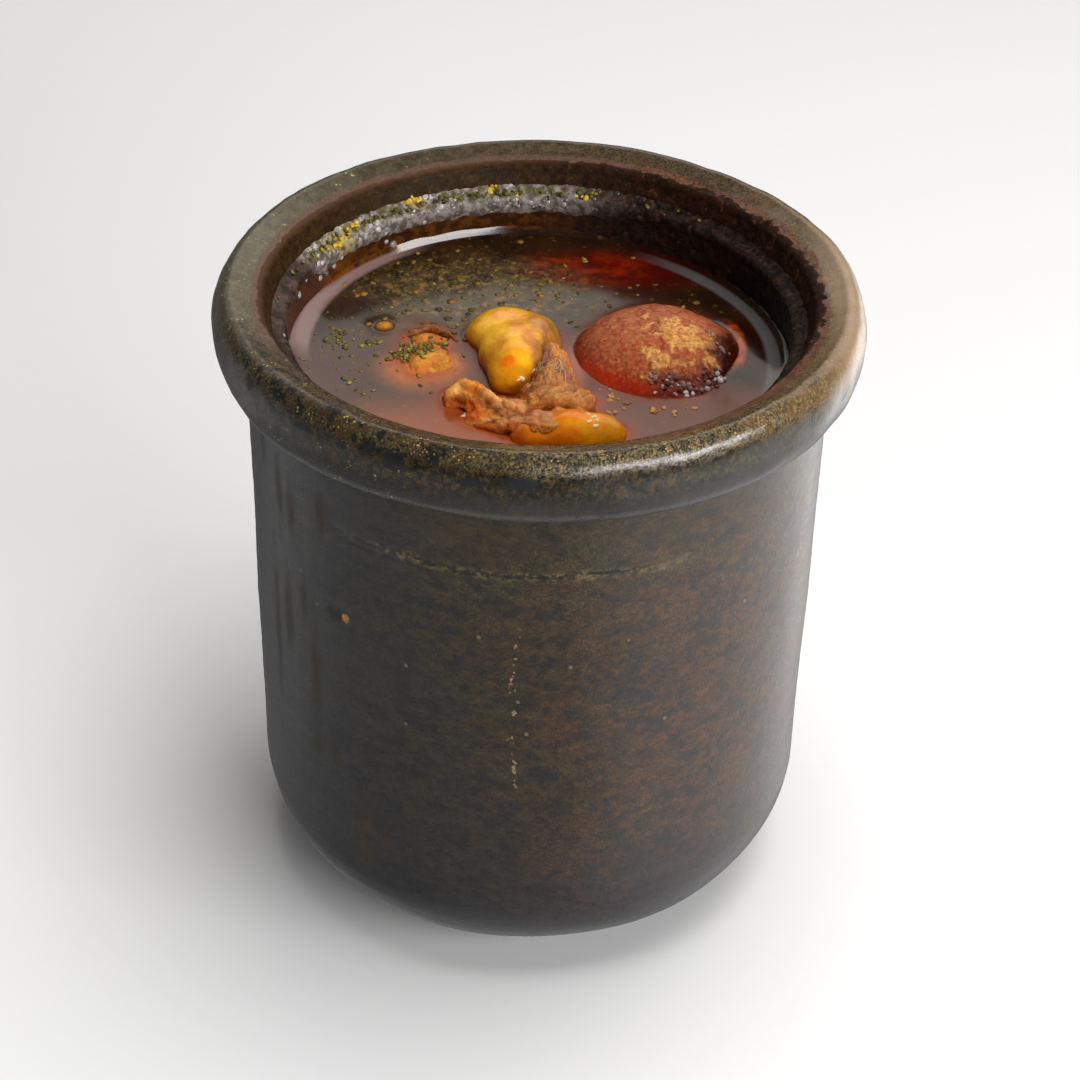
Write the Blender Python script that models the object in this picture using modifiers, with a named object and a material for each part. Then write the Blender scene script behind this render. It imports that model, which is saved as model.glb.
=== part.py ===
"""Dizi, a Persian lamb and chickpea stew, in the glazed stoneware pot that it is cooked and served in.

The pot stands on its foot, centred on the Z axis, with the foot's face at Z = 0. The front is at -Y.
The broth fills the pot to a little under the lid seat, and the food floats in it, mostly sunk.
Sizes are in metres. Everything is solid, and each piece keeps a 0.3 mm gap to its neighbours.
"""

import math

import bmesh
import bpy
from mathutils import Matrix, Vector

MM = 0.001

# The pot's outside, measured from its axis and its foot.
LIP_RADIUS = 65.0 * MM
LIP_MID_HEIGHT = 129.0 * MM
LIP_HALF_HEIGHT = 7.5 * MM
LIP_ROLL = 3.75 * MM
NECK_RADIUS = 58.6 * MM
NECK_COVE = 2.4 * MM
SHOULDER_RADIUS = 58.1 * MM
FOOT_RADIUS = 33.0 * MM
FOOT_CORNER = 25.5 * MM

# The pot's inside: a shallow seat for a lid lies just under the mouth.
WALL = 8.0 * MM
FLOOR = 11.0 * MM
INNER_CORNER = 20.0 * MM
SEAT_HEIGHT = 128.4 * MM
SEAT_RADIUS = 53.4 * MM
SEAT_ROUND = 0.9 * MM
SEAT_COVE = 1.6 * MM
MOUTH_RADIUS = 54.5 * MM
MOUTH_DROP = 2.2 * MM
MOUTH_ROUND = 1.6 * MM

LIP_HEIGHT = LIP_MID_HEIGHT + LIP_HALF_HEIGHT
INNER_RADIUS = NECK_RADIUS - WALL

# How fine the turned shapes are.
MERGE = 0.01 * MM
TURNS = 48

# The contents. Places are (x, y), and what floats is sunk that far from its middle to the surface.
BROTH_LEVEL = 119.0 * MM
GAP = 0.3 * MM
TOMATO_RADIUS = 22.0 * MM
TOMATO_FLATNESS = 0.93
TOMATO_SWELL = 0.02
TOMATO_PLACE = (24.2 * MM, 2.0 * MM)
TOMATO_SUNK = 12.5 * MM
CHICKPEA_RADIUS = 4.2 * MM
CHICKPEA_BEAK = 0.24
CHICKPEA_FLATNESS = 0.93
CHICKPEA_PLACE = (-31.8 * MM, 10.4 * MM)
CHICKPEA_SUNK = 3.2 * MM

# The lumps of food: how finely they are run together, and how rough cooking left them.
LUMP_CELL = 1.0 * MM
LUMP_SOFTENING = 6
DENT_SPACING = 5.0 * MM
TRIANGLES_KEPT = 0.17

# The lobes that each lump is made of: (x, y, height over the broth, rx, ry, rz), in millimetres.
TAIL_FAT_LOBES = [
    (-11.0, 7.6, -0.8, 5.0, 4.4, 4.8),
    (-6.6, 6.8, 0.0, 8.6, 7.0, 6.4),
    (-1.4, 4.2, 0.4, 6.0, 7.6, 6.2),
    (-4.8, -1.6, 1.0, 7.6, 7.6, 6.6),
    (-4.4, -7.2, 1.6, 6.2, 6.4, 6.2),
    (-4.8, -11.0, 1.2, 5.2, 4.4, 5.2),
]
LAMB_MEAT_LOBES = [
    (-14.4, -17.0, -0.4, 4.8, 4.4, 5.0),
    (-9.6, -21.4, -0.4, 6.2, 5.2, 4.8),
    (-3.6, -23.4, -0.4, 7.0, 4.6, 5.0),
    (1.6, -19.4, 0.4, 6.4, 6.4, 5.8),
    (2.8, -13.0, 0.6, 5.4, 6.4, 6.0),
    (2.4, -6.2, 0.4, 4.0, 6.4, 5.6),
    (6.4, -19.0, -0.2, 5.0, 5.6, 5.0),
]
FRONT_FAT_LOBES = [
    (0.0, -29.6, -1.0, 6.0, 4.4, 4.6),
    (6.4, -28.8, -0.2, 7.0, 5.4, 5.6),
    (12.0, -28.2, -0.6, 5.8, 4.8, 5.0),
]
POTATO_LOBES = [
    (-23.0, 5.2, -3.4, 5.4, 5.8, 5.0),
    (-21.0, 4.4, -3.6, 4.2, 5.8, 4.8),
    (-22.4, -2.8, -3.2, 6.8, 7.0, 5.0),
]


def clear_scene():
    """Removes what the scene holds at the start."""
    for found in list(bpy.data.objects):
        bpy.data.objects.remove(found)


def new_collection(name):
    """A collection of that name in the scene."""
    collection = bpy.data.collections.new(name)
    bpy.context.scene.collection.children.link(collection)
    return collection


def finish(name, colour, roughness):
    """A plain material with a colour, as linear red, green and blue, and a roughness."""
    material = bpy.data.materials.new(name)
    material.use_nodes = True
    shader = material.node_tree.nodes["Principled BSDF"]
    shader.inputs["Base Color"].default_value = (*colour, 1.0)
    shader.inputs["Roughness"].default_value = roughness
    shader.inputs["Metallic"].default_value = 0.0
    return material


def add_object(name, mesh, collection, material):
    """Links a new object that holds the mesh, in that material."""
    made = bpy.data.objects.new(name, mesh)
    collection.objects.link(made)
    made.data.materials.append(material)
    return made


def arc(centre, radii, start, end, count):
    """Points (radius, height) on an ellipse's arc, from one angle to another in degrees."""
    points = []
    for step in range(count + 1):
        angle = math.radians(start + (end - start) * step / count)
        points.append((centre[0] + radii[0] * math.cos(angle), centre[1] + radii[1] * math.sin(angle)))
    return points


def turned(name, profile, collection, material):
    """A solid turned from a profile of (radius, height) points, which ends on the axis at both ends."""
    mesh = bpy.data.meshes.new(name)
    points = [(radius, 0.0, height) for radius, height in profile]
    edges = [(index, index + 1) for index in range(len(points) - 1)]
    mesh.from_pydata(points, edges, [])
    made = add_object(name, mesh, collection, material)
    screw = made.modifiers.new("Turn", "SCREW")
    screw.axis = "Z"
    screw.steps = TURNS
    screw.render_steps = TURNS
    screw.use_merge_vertices = True
    screw.merge_threshold = MERGE
    screw.use_smooth_shade = True
    return made


def pot_profile():
    """The pot's section, from the middle of its inner floor up, over the lip and down to the foot."""
    inner_corner = (INNER_RADIUS - INNER_CORNER, FLOOR + INNER_CORNER)
    seat_edge = (INNER_RADIUS + SEAT_ROUND, SEAT_HEIGHT - SEAT_ROUND)
    seat_cove = (SEAT_RADIUS - SEAT_COVE, SEAT_HEIGHT + SEAT_COVE)
    mouth_edge = (MOUTH_RADIUS + MOUTH_ROUND, LIP_HEIGHT - MOUTH_DROP - MOUTH_ROUND)
    lip_middle = (LIP_RADIUS - LIP_ROLL, LIP_MID_HEIGHT)
    neck_cove = (NECK_RADIUS + NECK_COVE, LIP_MID_HEIGHT - LIP_HALF_HEIGHT - NECK_COVE)
    foot_corner = (FOOT_RADIUS, FOOT_CORNER)
    points = [(0.0, FLOOR)]
    points += arc(inner_corner, (INNER_CORNER, INNER_CORNER), -90.0, 0.0, 3)
    points += arc(seat_edge, (SEAT_ROUND, SEAT_ROUND), 180.0, 90.0, 2)
    points += arc(seat_cove, (SEAT_COVE, SEAT_COVE), -90.0, 0.0, 2)
    points += arc(mouth_edge, (MOUTH_ROUND, MOUTH_ROUND), 180.0, 105.0, 2)
    points += arc(lip_middle, (LIP_ROLL, LIP_HALF_HEIGHT), 110.0, -78.0, 8)
    points += arc(neck_cove, (NECK_COVE, NECK_COVE), 100.0, 180.0, 2)
    points += arc(foot_corner, (SHOULDER_RADIUS - FOOT_RADIUS, FOOT_CORNER), 0.0, -90.0, 6)
    points.append((0.0, 0.0))
    return points


def broth_profile():
    """The broth's section, from the middle of its surface out, and down inside the pot to the floor."""
    radius = INNER_RADIUS - GAP
    floor = FLOOR + GAP
    corner = (radius - INNER_CORNER, floor + INNER_CORNER)
    points = [(0.0, BROTH_LEVEL), (radius, BROTH_LEVEL)]
    points += arc(corner, (INNER_CORNER, INNER_CORNER), 0.0, -90.0, 3)
    points.append((0.0, floor))
    return points


def lump(name, lobes, dents, collection, material):
    """One lump of food, run together from egg-shaped lobes, and dented that many millimetres by cooking."""
    mesh = bpy.data.meshes.new(name)
    shape = bmesh.new()
    for x, y, height, *radii in lobes:
        place = Matrix.Translation(Vector((x * MM, y * MM, BROTH_LEVEL + height * MM)))
        size = Matrix.Diagonal((*[radius * MM for radius in radii], 1.0))
        bmesh.ops.create_icosphere(shape, subdivisions=3, radius=1.0, matrix=place @ size)
    shape.to_mesh(mesh)
    shape.free()
    made = add_object(name, mesh, collection, material)
    remesh = made.modifiers.new("Run together", "REMESH")
    remesh.mode = "VOXEL"
    remesh.voxel_size = LUMP_CELL
    remesh.use_smooth_shade = True
    smooth = made.modifiers.new("Soften", "SMOOTH")
    smooth.iterations = LUMP_SOFTENING
    unevenness = bpy.data.textures.new(name + "_unevenness", "CLOUDS")
    unevenness.noise_scale = DENT_SPACING
    dent = made.modifiers.new("Dent", "DISPLACE")
    dent.texture = unevenness
    dent.strength = dents * MM
    fewer = made.modifiers.new("Fewer triangles", "DECIMATE")
    fewer.ratio = TRIANGLES_KEPT
    return made


def whole_tomato(collection, material):
    """A small whole tomato, a little flattened, with five shallow lobes, sunk past its middle."""
    mesh = bpy.data.meshes.new("tomato")
    shape = bmesh.new()
    bmesh.ops.create_uvsphere(shape, u_segments=24, v_segments=14, radius=1.0)
    for vertex in shape.verts:
        x, y, z = vertex.co
        swell = 1.0 + TOMATO_SWELL * math.hypot(x, y) * math.cos(5.0 * math.atan2(y, x))
        vertex.co = Vector((x * swell, y * swell, z * TOMATO_FLATNESS)) * TOMATO_RADIUS
    shape.to_mesh(mesh)
    shape.free()
    mesh.shade_smooth()
    made = add_object("tomato", mesh, collection, material)
    made.location = (*TOMATO_PLACE, BROTH_LEVEL - TOMATO_SUNK)
    made.rotation_euler = (math.radians(14.0), math.radians(-10.0), math.radians(25.0))
    return made


def cooked_chickpea(collection, material):
    """A cooked chickpea with its small beak, of which only the crown shows."""
    mesh = bpy.data.meshes.new("chickpea")
    shape = bmesh.new()
    bmesh.ops.create_uvsphere(shape, u_segments=12, v_segments=8, radius=1.0)
    for vertex in shape.verts:
        x, y, z = vertex.co
        beak = CHICKPEA_BEAK * max(0.0, x) ** 4
        vertex.co = Vector((x + beak, y * CHICKPEA_FLATNESS, z)) * CHICKPEA_RADIUS
    shape.to_mesh(mesh)
    shape.free()
    mesh.shade_smooth()
    made = add_object("chickpea", mesh, collection, material)
    made.location = (*CHICKPEA_PLACE, BROTH_LEVEL - CHICKPEA_SUNK)
    made.rotation_euler = (0.0, math.radians(35.0), math.radians(-120.0))
    return made


def room_for(piece, collection):
    """A hidden cutter: a copy of a piece, swollen by the gap."""
    room = piece.copy()
    room.data = piece.data.copy()
    room.name = piece.name + "_room"
    collection.objects.link(room)
    swell = room.modifiers.new("Swell", "DISPLACE")
    swell.strength = GAP
    swell.mid_level = 0.0
    room.hide_render = True
    room.display_type = "WIRE"
    return room


def cut(piece, cutter):
    """Cuts a hidden cutter out of a piece."""
    boolean = piece.modifiers.new("Cut by " + cutter.name, "BOOLEAN")
    boolean.operation = "DIFFERENCE"
    boolean.solver = "EXACT"
    boolean.object = cutter


def main():
    clear_scene()
    dizi = new_collection("dizi")
    cutters = new_collection("cutters")

    glaze = finish("stoneware_glaze", (0.060, 0.048, 0.036), 0.3)
    liquor = finish("broth_liquor", (0.075, 0.018, 0.006), 0.08)
    skin = finish("tomato_skin", (0.30, 0.050, 0.020), 0.3)
    suet = finish("tail_fat", (0.60, 0.24, 0.020), 0.25)
    flesh = finish("lamb", (0.32, 0.140, 0.065), 0.45)
    starch = finish("potato", (0.52, 0.21, 0.030), 0.4)
    pulse = finish("chickpea", (0.52, 0.25, 0.040), 0.4)

    turned("pot", pot_profile(), dizi, glaze)
    broth = turned("broth", broth_profile(), dizi, liquor)
    tail_fat = lump("tail_fat", TAIL_FAT_LOBES, 0.7, dizi, suet)
    lamb_meat = lump("lamb_meat", LAMB_MEAT_LOBES, 2.0, dizi, flesh)
    front_fat = lump("front_fat", FRONT_FAT_LOBES, 0.7, dizi, suet)
    potato_chunk = lump("potato_chunk", POTATO_LOBES, 1.2, dizi, starch)
    tomato = whole_tomato(dizi, skin)
    chickpea = cooked_chickpea(dizi, pulse)

    fat_room = room_for(tail_fat, cutters)
    front_fat_room = room_for(front_fat, cutters)
    meat_room = room_for(lamb_meat, cutters)
    tomato_room = room_for(tomato, cutters)
    potato_room = room_for(potato_chunk, cutters)
    chickpea_room = room_for(chickpea, cutters)

    for room in (fat_room, front_fat_room, tomato_room):
        cut(lamb_meat, room)
    for room in (meat_room, fat_room, front_fat_room, tomato_room, potato_room, chickpea_room):
        cut(broth, room)


main()
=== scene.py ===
"""The looks of a dizi: one helping of lamb and chickpea stew in its glazed stoneware pot.

The pot, the broth and each lump of food are made again as fine meshes over the frame's solids, with the
potter's wobble, the meniscus, the crust of spice and the grain of the meat in their shapes. What floats on
the broth or clings to the pot is scattered over them as small meshes. Lengths are in metres, and finishes
measure their patterns in millimetres.
"""

import math
import random

import bmesh
import bpy
import numpy as np
from mathutils import Matrix, Vector, noise
from mathutils.bvhtree import BVHTree


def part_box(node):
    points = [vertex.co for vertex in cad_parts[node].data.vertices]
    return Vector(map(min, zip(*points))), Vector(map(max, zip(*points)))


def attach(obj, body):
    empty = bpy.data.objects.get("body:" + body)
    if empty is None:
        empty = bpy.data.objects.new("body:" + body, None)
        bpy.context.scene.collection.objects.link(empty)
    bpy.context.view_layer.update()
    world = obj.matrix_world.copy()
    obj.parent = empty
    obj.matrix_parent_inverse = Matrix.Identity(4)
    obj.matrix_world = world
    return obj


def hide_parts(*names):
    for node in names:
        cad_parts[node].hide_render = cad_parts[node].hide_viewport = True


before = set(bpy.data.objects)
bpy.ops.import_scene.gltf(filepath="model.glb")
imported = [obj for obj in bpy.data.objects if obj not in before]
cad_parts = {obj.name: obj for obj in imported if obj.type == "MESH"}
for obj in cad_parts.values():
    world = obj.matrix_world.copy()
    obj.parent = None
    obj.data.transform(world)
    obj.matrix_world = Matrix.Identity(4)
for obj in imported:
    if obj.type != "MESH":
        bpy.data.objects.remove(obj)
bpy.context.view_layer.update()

MM = 0.001

# The pot's and the broth's sizes, from the frame.
POT_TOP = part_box("pot")[1]
BROTH_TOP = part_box("broth")[1]
LIP_RADIUS = POT_TOP.x
LIP_HEIGHT = POT_TOP.z
BROTH_LEVEL = BROTH_TOP.z
INNER_RADIUS = BROTH_TOP.x + 0.3 * MM
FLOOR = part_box("broth")[0].z - 0.3 * MM

# The rest of the pot's section.
LIP_HALF_HEIGHT = 7.5 * MM
LIP_ROLL = 3.75 * MM
LIP_MID_HEIGHT = LIP_HEIGHT - LIP_HALF_HEIGHT
NECK_RADIUS = 58.6 * MM
NECK_COVE = 2.4 * MM
SHOULDER_RADIUS = 58.1 * MM
FOOT_RADIUS = 33.0 * MM
FOOT_CORNER = 25.5 * MM
INNER_CORNER = 20.0 * MM
SEAT_HEIGHT = 128.4 * MM
SEAT_RADIUS = 53.4 * MM
SEAT_ROUND = 0.9 * MM
SEAT_COVE = 1.6 * MM
MOUTH_RADIUS = 54.5 * MM
MOUTH_DROP = 2.2 * MM
MOUTH_ROUND = 1.6 * MM

# Marks on the glaze, in millimetres: each as its angle in degrees from the front round to the right, its
# radius, its height, half its width and half its height. Olive-brown drips run down the left of the body.
GROOVE_HEIGHT = 106.8
CHIP = (-38.4, 58.4, 86.3, 1.4, 1.7)
CHIP_STAIN = (-40.6, 58.4, 86.0, 3.4, 2.9)
DRIPS = [
    (-56.4, 58.4, 77.0, 2.4, 15.0), (-54.4, 58.4, 103.5, 2.3, 9.0), (-58.6, 58.4, 106.0, 1.8, 13.0),
    (-44.2, 58.4, 107.0, 2.4, 9.0), (-47.0, 58.4, 67.0, 2.3, 18.0), (-37.4, 58.4, 97.0, 1.3, 3.4),
    (-62.0, 58.4, 70.0, 2.2, 24.0), (-47.6, 58.4, 49.5, 2.0, 4.5), (-42.0, 58.4, 49.5, 1.9, 6.0),
    (-34.5, 57.6, 30.0, 2.2, 13.0), (-66.0, 58.4, 112.0, 2.3, 8.0), (-50.5, 58.4, 84.0, 1.6, 9.0),
    (-29.0, 58.0, 33.0, 1.8, 6.0),
]

# Black spots where the glaze ran thick, on the front left of the lip.
BLACK_SPOTS = [
    (-17.0, 63.9, 134.2, 2.0, 1.7), (-23.3, 64.5, 132.7, 3.0, 1.5), (-28.1, 64.2, 133.6, 1.9, 1.9),
    (-2.5, 64.7, 131.8, 3.9, 1.5), (-10.0, 64.8, 131.2, 2.2, 1.0), (-36.8, 61.6, 136.5, 2.2, 1.4),
    (-41.5, 64.7, 132.2, 3.0, 1.3), (-49.0, 63.7, 134.8, 2.6, 1.4), (-33.5, 64.7, 132.0, 2.0, 1.2),
    (-57.0, 64.5, 133.0, 2.5, 1.6),
]

# How high the broth creeps up each lump of food and over what width, in millimetres, and how it glows there.
CREEP = {
    "tomato": (0.4, 2.6, 0.35),
    "tail_fat": (0.35, 1.6, 0.5),
    "front_fat": (0.35, 1.4, 0.9),
    "lamb_meat": (0.35, 1.2, 1.0),
    "sunk_meat": (0.25, 1.4, 1.0),
    "potato_chunk": (0.45, 2.4, 1.0),
    "chickpea": (0.3, 0.9, 0.0),
}

# Tints of what is scattered: three of each, usually from dark to bright.
TURMERIC_TINTS = [(0.07, 0.05, 0.012), (0.18, 0.11, 0.018), (0.36, 0.12, 0.01)]
HERB_TINTS = [(0.08, 0.064, 0.012), (0.17, 0.145, 0.02), (0.34, 0.29, 0.04)]
LEAF_TINTS = [(0.085, 0.068, 0.014), (0.18, 0.155, 0.024), (0.33, 0.27, 0.04)]
CRUMB_TINTS = [(0.3, 0.13, 0.045), (0.56, 0.27, 0.085), (0.52, 0.3, 0.12)]
STRING_TINTS = [(0.2, 0.1, 0.07), (0.5, 0.24, 0.09), (0.64, 0.36, 0.15)]
FOAM_TINTS = [(0.12, 0.024, 0.016), (0.3, 0.16, 0.14), (0.06, 0.012, 0.008)]
# Pale tints of bubbles, painted as their glints.
FOAM_GLINT_TINTS = [(0.64, 0.57, 0.56), (0.26, 0.19, 0.18), (0.42, 0.34, 0.33)]
# Pale tints of clear fat beads, painted as glints.
CLEAR_FAT_GLINT_TINTS = [(0.78, 0.48, 0.26), (0.84, 0.64, 0.5), (0.76, 0.44, 0.16)]
# The ledge beads' pale tint is partly painted highlight.
LEDGE_BEAD_TINTS = [(0.44, 0.4, 0.385), (0.13, 0.104, 0.092), (0.04, 0.02, 0.016)]
LEDGE_HERB_TINTS = [(0.05, 0.042, 0.01), (0.12, 0.1, 0.016), (0.24, 0.19, 0.024)]
LEDGE_TURMERIC_TINTS = [(0.3, 0.19, 0.012), (0.56, 0.38, 0.02), (0.62, 0.4, 0.12)]
CURL_TINTS = [(0.06, 0.012, 0.005), (0.15, 0.03, 0.009), (0.26, 0.08, 0.02)]

# How finely the round pieces are made: how many columns go round each.
POT_COLUMNS = 360
FILM_COLUMNS = 480
BROTH_COLUMNS = 420
RESIDUE_COLUMNS = 600

# How many loose strings the lamb has, how many points each has, and how many herbs lie on the ledge.
STRING_COUNT = 110
STRING_POINTS = 9
LEDGE_HERB_COUNT = 110

# Where crumbs of meat float in front of the tomato, and how many lie at each place.
CRUMB_PLACES = [
    (12.9, -10.6, 3), (13.6, -12.8, 3), (14.6, -14.8, 4), (18.2, -17.0, 4), (22.1, -19.3, 4),
    (25.0, -18.4, 2), (30.0, -18.2, 3), (16.0, -20.0, 2), (27.0, -20.5, 2),
]

# Single drops on the wall under the ledge: the angle, the height over the ledge and the size.
LONE_DROPS = [
    (-141.0, -6.2, 0.95), (-139.0, -5.0, 0.6), (-121.0, -4.4, 0.7), (-118.0, -4.9, 0.6),
    (-115.0, -4.6, 0.75), (-124.0, -3.6, 0.6), (-103.0, -3.0, 0.8),
]

# Yellow clumps on the ledge: the angle, how far behind its edge, the height over it, the spread, the count.
TURMERIC_CLUMPS = [
    (-124.5, 0.2, -0.3, 1.8, 26), (-130.0, 1.8, 0.7, 1.2, 8), (-148.5, 2.4, 1.2, 1.3, 16),
    (-168.0, 2.4, 1.2, 0.7, 5), (-174.0, 0.6, -0.4, 0.8, 5), (-118.5, 0.6, 0.2, 1.0, 6),
    (170.0, 1.0, 0.0, 0.8, 4),
]

# Where bubbles gather at the tomato, how widely, and how many lie at each place.
FOAM_PLACES = [
    (22.6, -11.8, 0.9, 7), (25.2, -12.4, 1.1, 9), (28.2, -12.4, 1.2, 10), (31.2, -12.0, 1.2, 11),
    (33.8, -10.0, 1.1, 10), (36.2, -7.8, 0.9, 7), (36.6, -2.0, 1.2, 6), (35.2, 2.4, 1.2, 4),
]

# Where leaves lie on the potato: the middle, how widely each way, and how many.
LEAF_PLACES = [
    (-25.6, 0.6, 2.0, 1.6, 46), (-22.0, 3.0, 1.6, 1.2, 10), (-19.5, 6.4, 2.0, 1.2, 8),
    (-27.6, -1.6, 1.8, 1.2, 16),
]

# Where clear fat beads on the food, painted pale as glints: the middle, how widely each way, and how many.
OIL_PLACES = [
    (-2.6, -14.2, 0.25, 0.12, 3), (-1.8, -14.0, 0.2, 0.12, 2), (-0.9, -12.9, 0.2, 0.3, 3),
    (9.7, -27.4, 0.2, 0.15, 2), (11.0, -28.3, 0.22, 0.22, 3), (11.8, -29.2, 0.2, 0.2, 2),
    (10.2, -29.9, 0.2, 0.2, 2), (11.4, -30.9, 0.22, 0.15, 2), (-14.5, -22.8, 0.2, 0.25, 3),
    (-13.9, -21.8, 0.15, 0.3, 2),
]

# Rows of beads on the ledge: how far behind its edge and how widely, the height over it and how widely, the
# count, the least and greatest size, and how flat.
BEAD_ROWS = [
    (0.15, 0.1, -1.2, 0.5, 170, 0.55, 0.95, 0.55), (0.25, 0.1, -2.4, 0.45, 90, 0.45, 0.8, 0.55),
    (2.6, 0.12, 0.8, 0.18, 56, 0.65, 1.0, 0.6), (1.3, 0.5, 0.2, 0.1, 40, 0.35, 0.6, 0.5),
]

# The residue's section: how far behind the ledge's edge and how far above it.
RESIDUE_SECTION = [
    (1.0, -4.4), (-0.05, -3.6), (-0.15, -2.5), (-0.15, -1.4), (0.1, -0.3),
    (1.0, 0.2), (2.0, 0.4), (2.75, 1.3), (4.0, 1.9),
]

# The curl of skin behind the potato: points on it, their height over the broth, and how fat it is there.
CURL_LINE = [
    (-27.6, 5.6, 0.3, 0.4), (-25.2, 8.0, 0.8, 1.2), (-22.0, 8.8, 1.1, 1.5), (-18.8, 7.6, 0.9, 1.2),
    (-16.8, 5.2, 0.2, 0.4),
]
CURL_THICKNESS = 0.62 * MM

# The camera: where it is, how far it looks down and leans, and its lens.
CAMERA_PLACE = (0.00126, -0.46216, 0.4013)
CAMERA_TILT = math.radians(35.316)
CAMERA_LEAN = 0.0279
CAMERA_LENS = 89.28

# What the lights are turned to, and how far the floor reaches, in metres.
LIGHTS_AIM = Vector((0.0, 0.0, 0.12))
FLOOR_HALF_WIDTH = 6.0

# Bubbles painted pale as glints: the place and the size.
PAINTED_GLINT_BUBBLES = [
    (36.9, -9.0, 1.0), (36.0, -8.2, 0.8), (35.1, -8.8, 0.55), (33.5, -11.5, 0.9), (29.4, -13.7, 0.95),
    (28.4, -11.6, 0.65), (27.7, -12.0, 0.5), (30.7, -13.0, 0.55), (25.6, -11.6, 0.4), (23.2, -13.6, 0.5),
    (24.6, -12.8, 0.4), (27.2, -13.8, 0.45),
]

# The line along the strings of the lamb, from its left end round the tip of the fat and up.
MEAT_GRAIN = [(-17.0, -18.0), (-9.0, -22.5), (-2.0, -24.0), (3.0, -19.0), (4.2, -12.0), (2.4, -3.0)]

# Crests and, with a minus, hollows of the lamb: a line of points, half its width and how far it stands out.
MEAT_FOLDS = [
    (
        [
            (-17.6, -19.6), (-14.8, -17.6), (-11.7, -19.4), (-9.4, -21.8), (-7.2, -23.2), (-4.2, -24.6),
            (-2.8, -25.9),
        ],
        0.95, 1.1,
    ),
    ([(-15.2, -22.4), (-12.4, -23.2), (-9.6, -24.2)], 2.0, -1.5),
    ([(-16.0, -25.0), (-12.0, -26.0), (-8.0, -27.0)], 0.7, 0.6),
    ([(-9.0, -18.2), (-5.5, -19.2), (-2.0, -19.4)], 1.4, -1.9),
    ([(-2.6, -21.4), (-1.8, -26.5)], 0.9, -0.8),
    ([(-0.8, -23.0), (0.5, -22.6), (4.3, -22.6), (7.8, -21.9), (10.6, -20.5)], 1.2, 0.8),
    ([(0.5, -24.9), (4.5, -24.8), (7.0, -24.4)], 0.9, -0.8),
    ([(2.6, -18.6), (6.8, -18.0)], 0.8, -0.5),
    ([(0.1, -12.3), (3.6, -13.2), (6.0, -15.4)], 0.7, -0.6),
    ([(2.4, -14.8), (3.6, -9.0), (2.0, -4.5)], 1.0, 0.5),
]

# Lumps of soft meat, half sunk in front of the lamb: the place and how far each reaches out and up.
SUNK_LUMPS = [
    (-12.6, -24.7, 118.7, 1.8, 1.2), (-9.6, -25.8, 119.0, 2.4, 1.5), (-6.4, -26.8, 119.5, 2.6, 2.0),
    (-3.4, -27.9, 120.2, 2.6, 2.2), (-0.4, -28.4, 121.2, 2.5, 2.1), (2.4, -28.6, 121.9, 2.4, 1.9),
    (5.0, -28.4, 122.4, 2.0, 1.6), (0.4, -26.8, 121.8, 2.0, 1.5), (4.0, -26.6, 122.4, 2.0, 1.5),
    (0.0, -30.2, 121.6, 2.4, 1.4), (2.6, -30.0, 122.3, 2.4, 1.4), (5.0, -29.6, 122.7, 2.0, 1.2),
]

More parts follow.
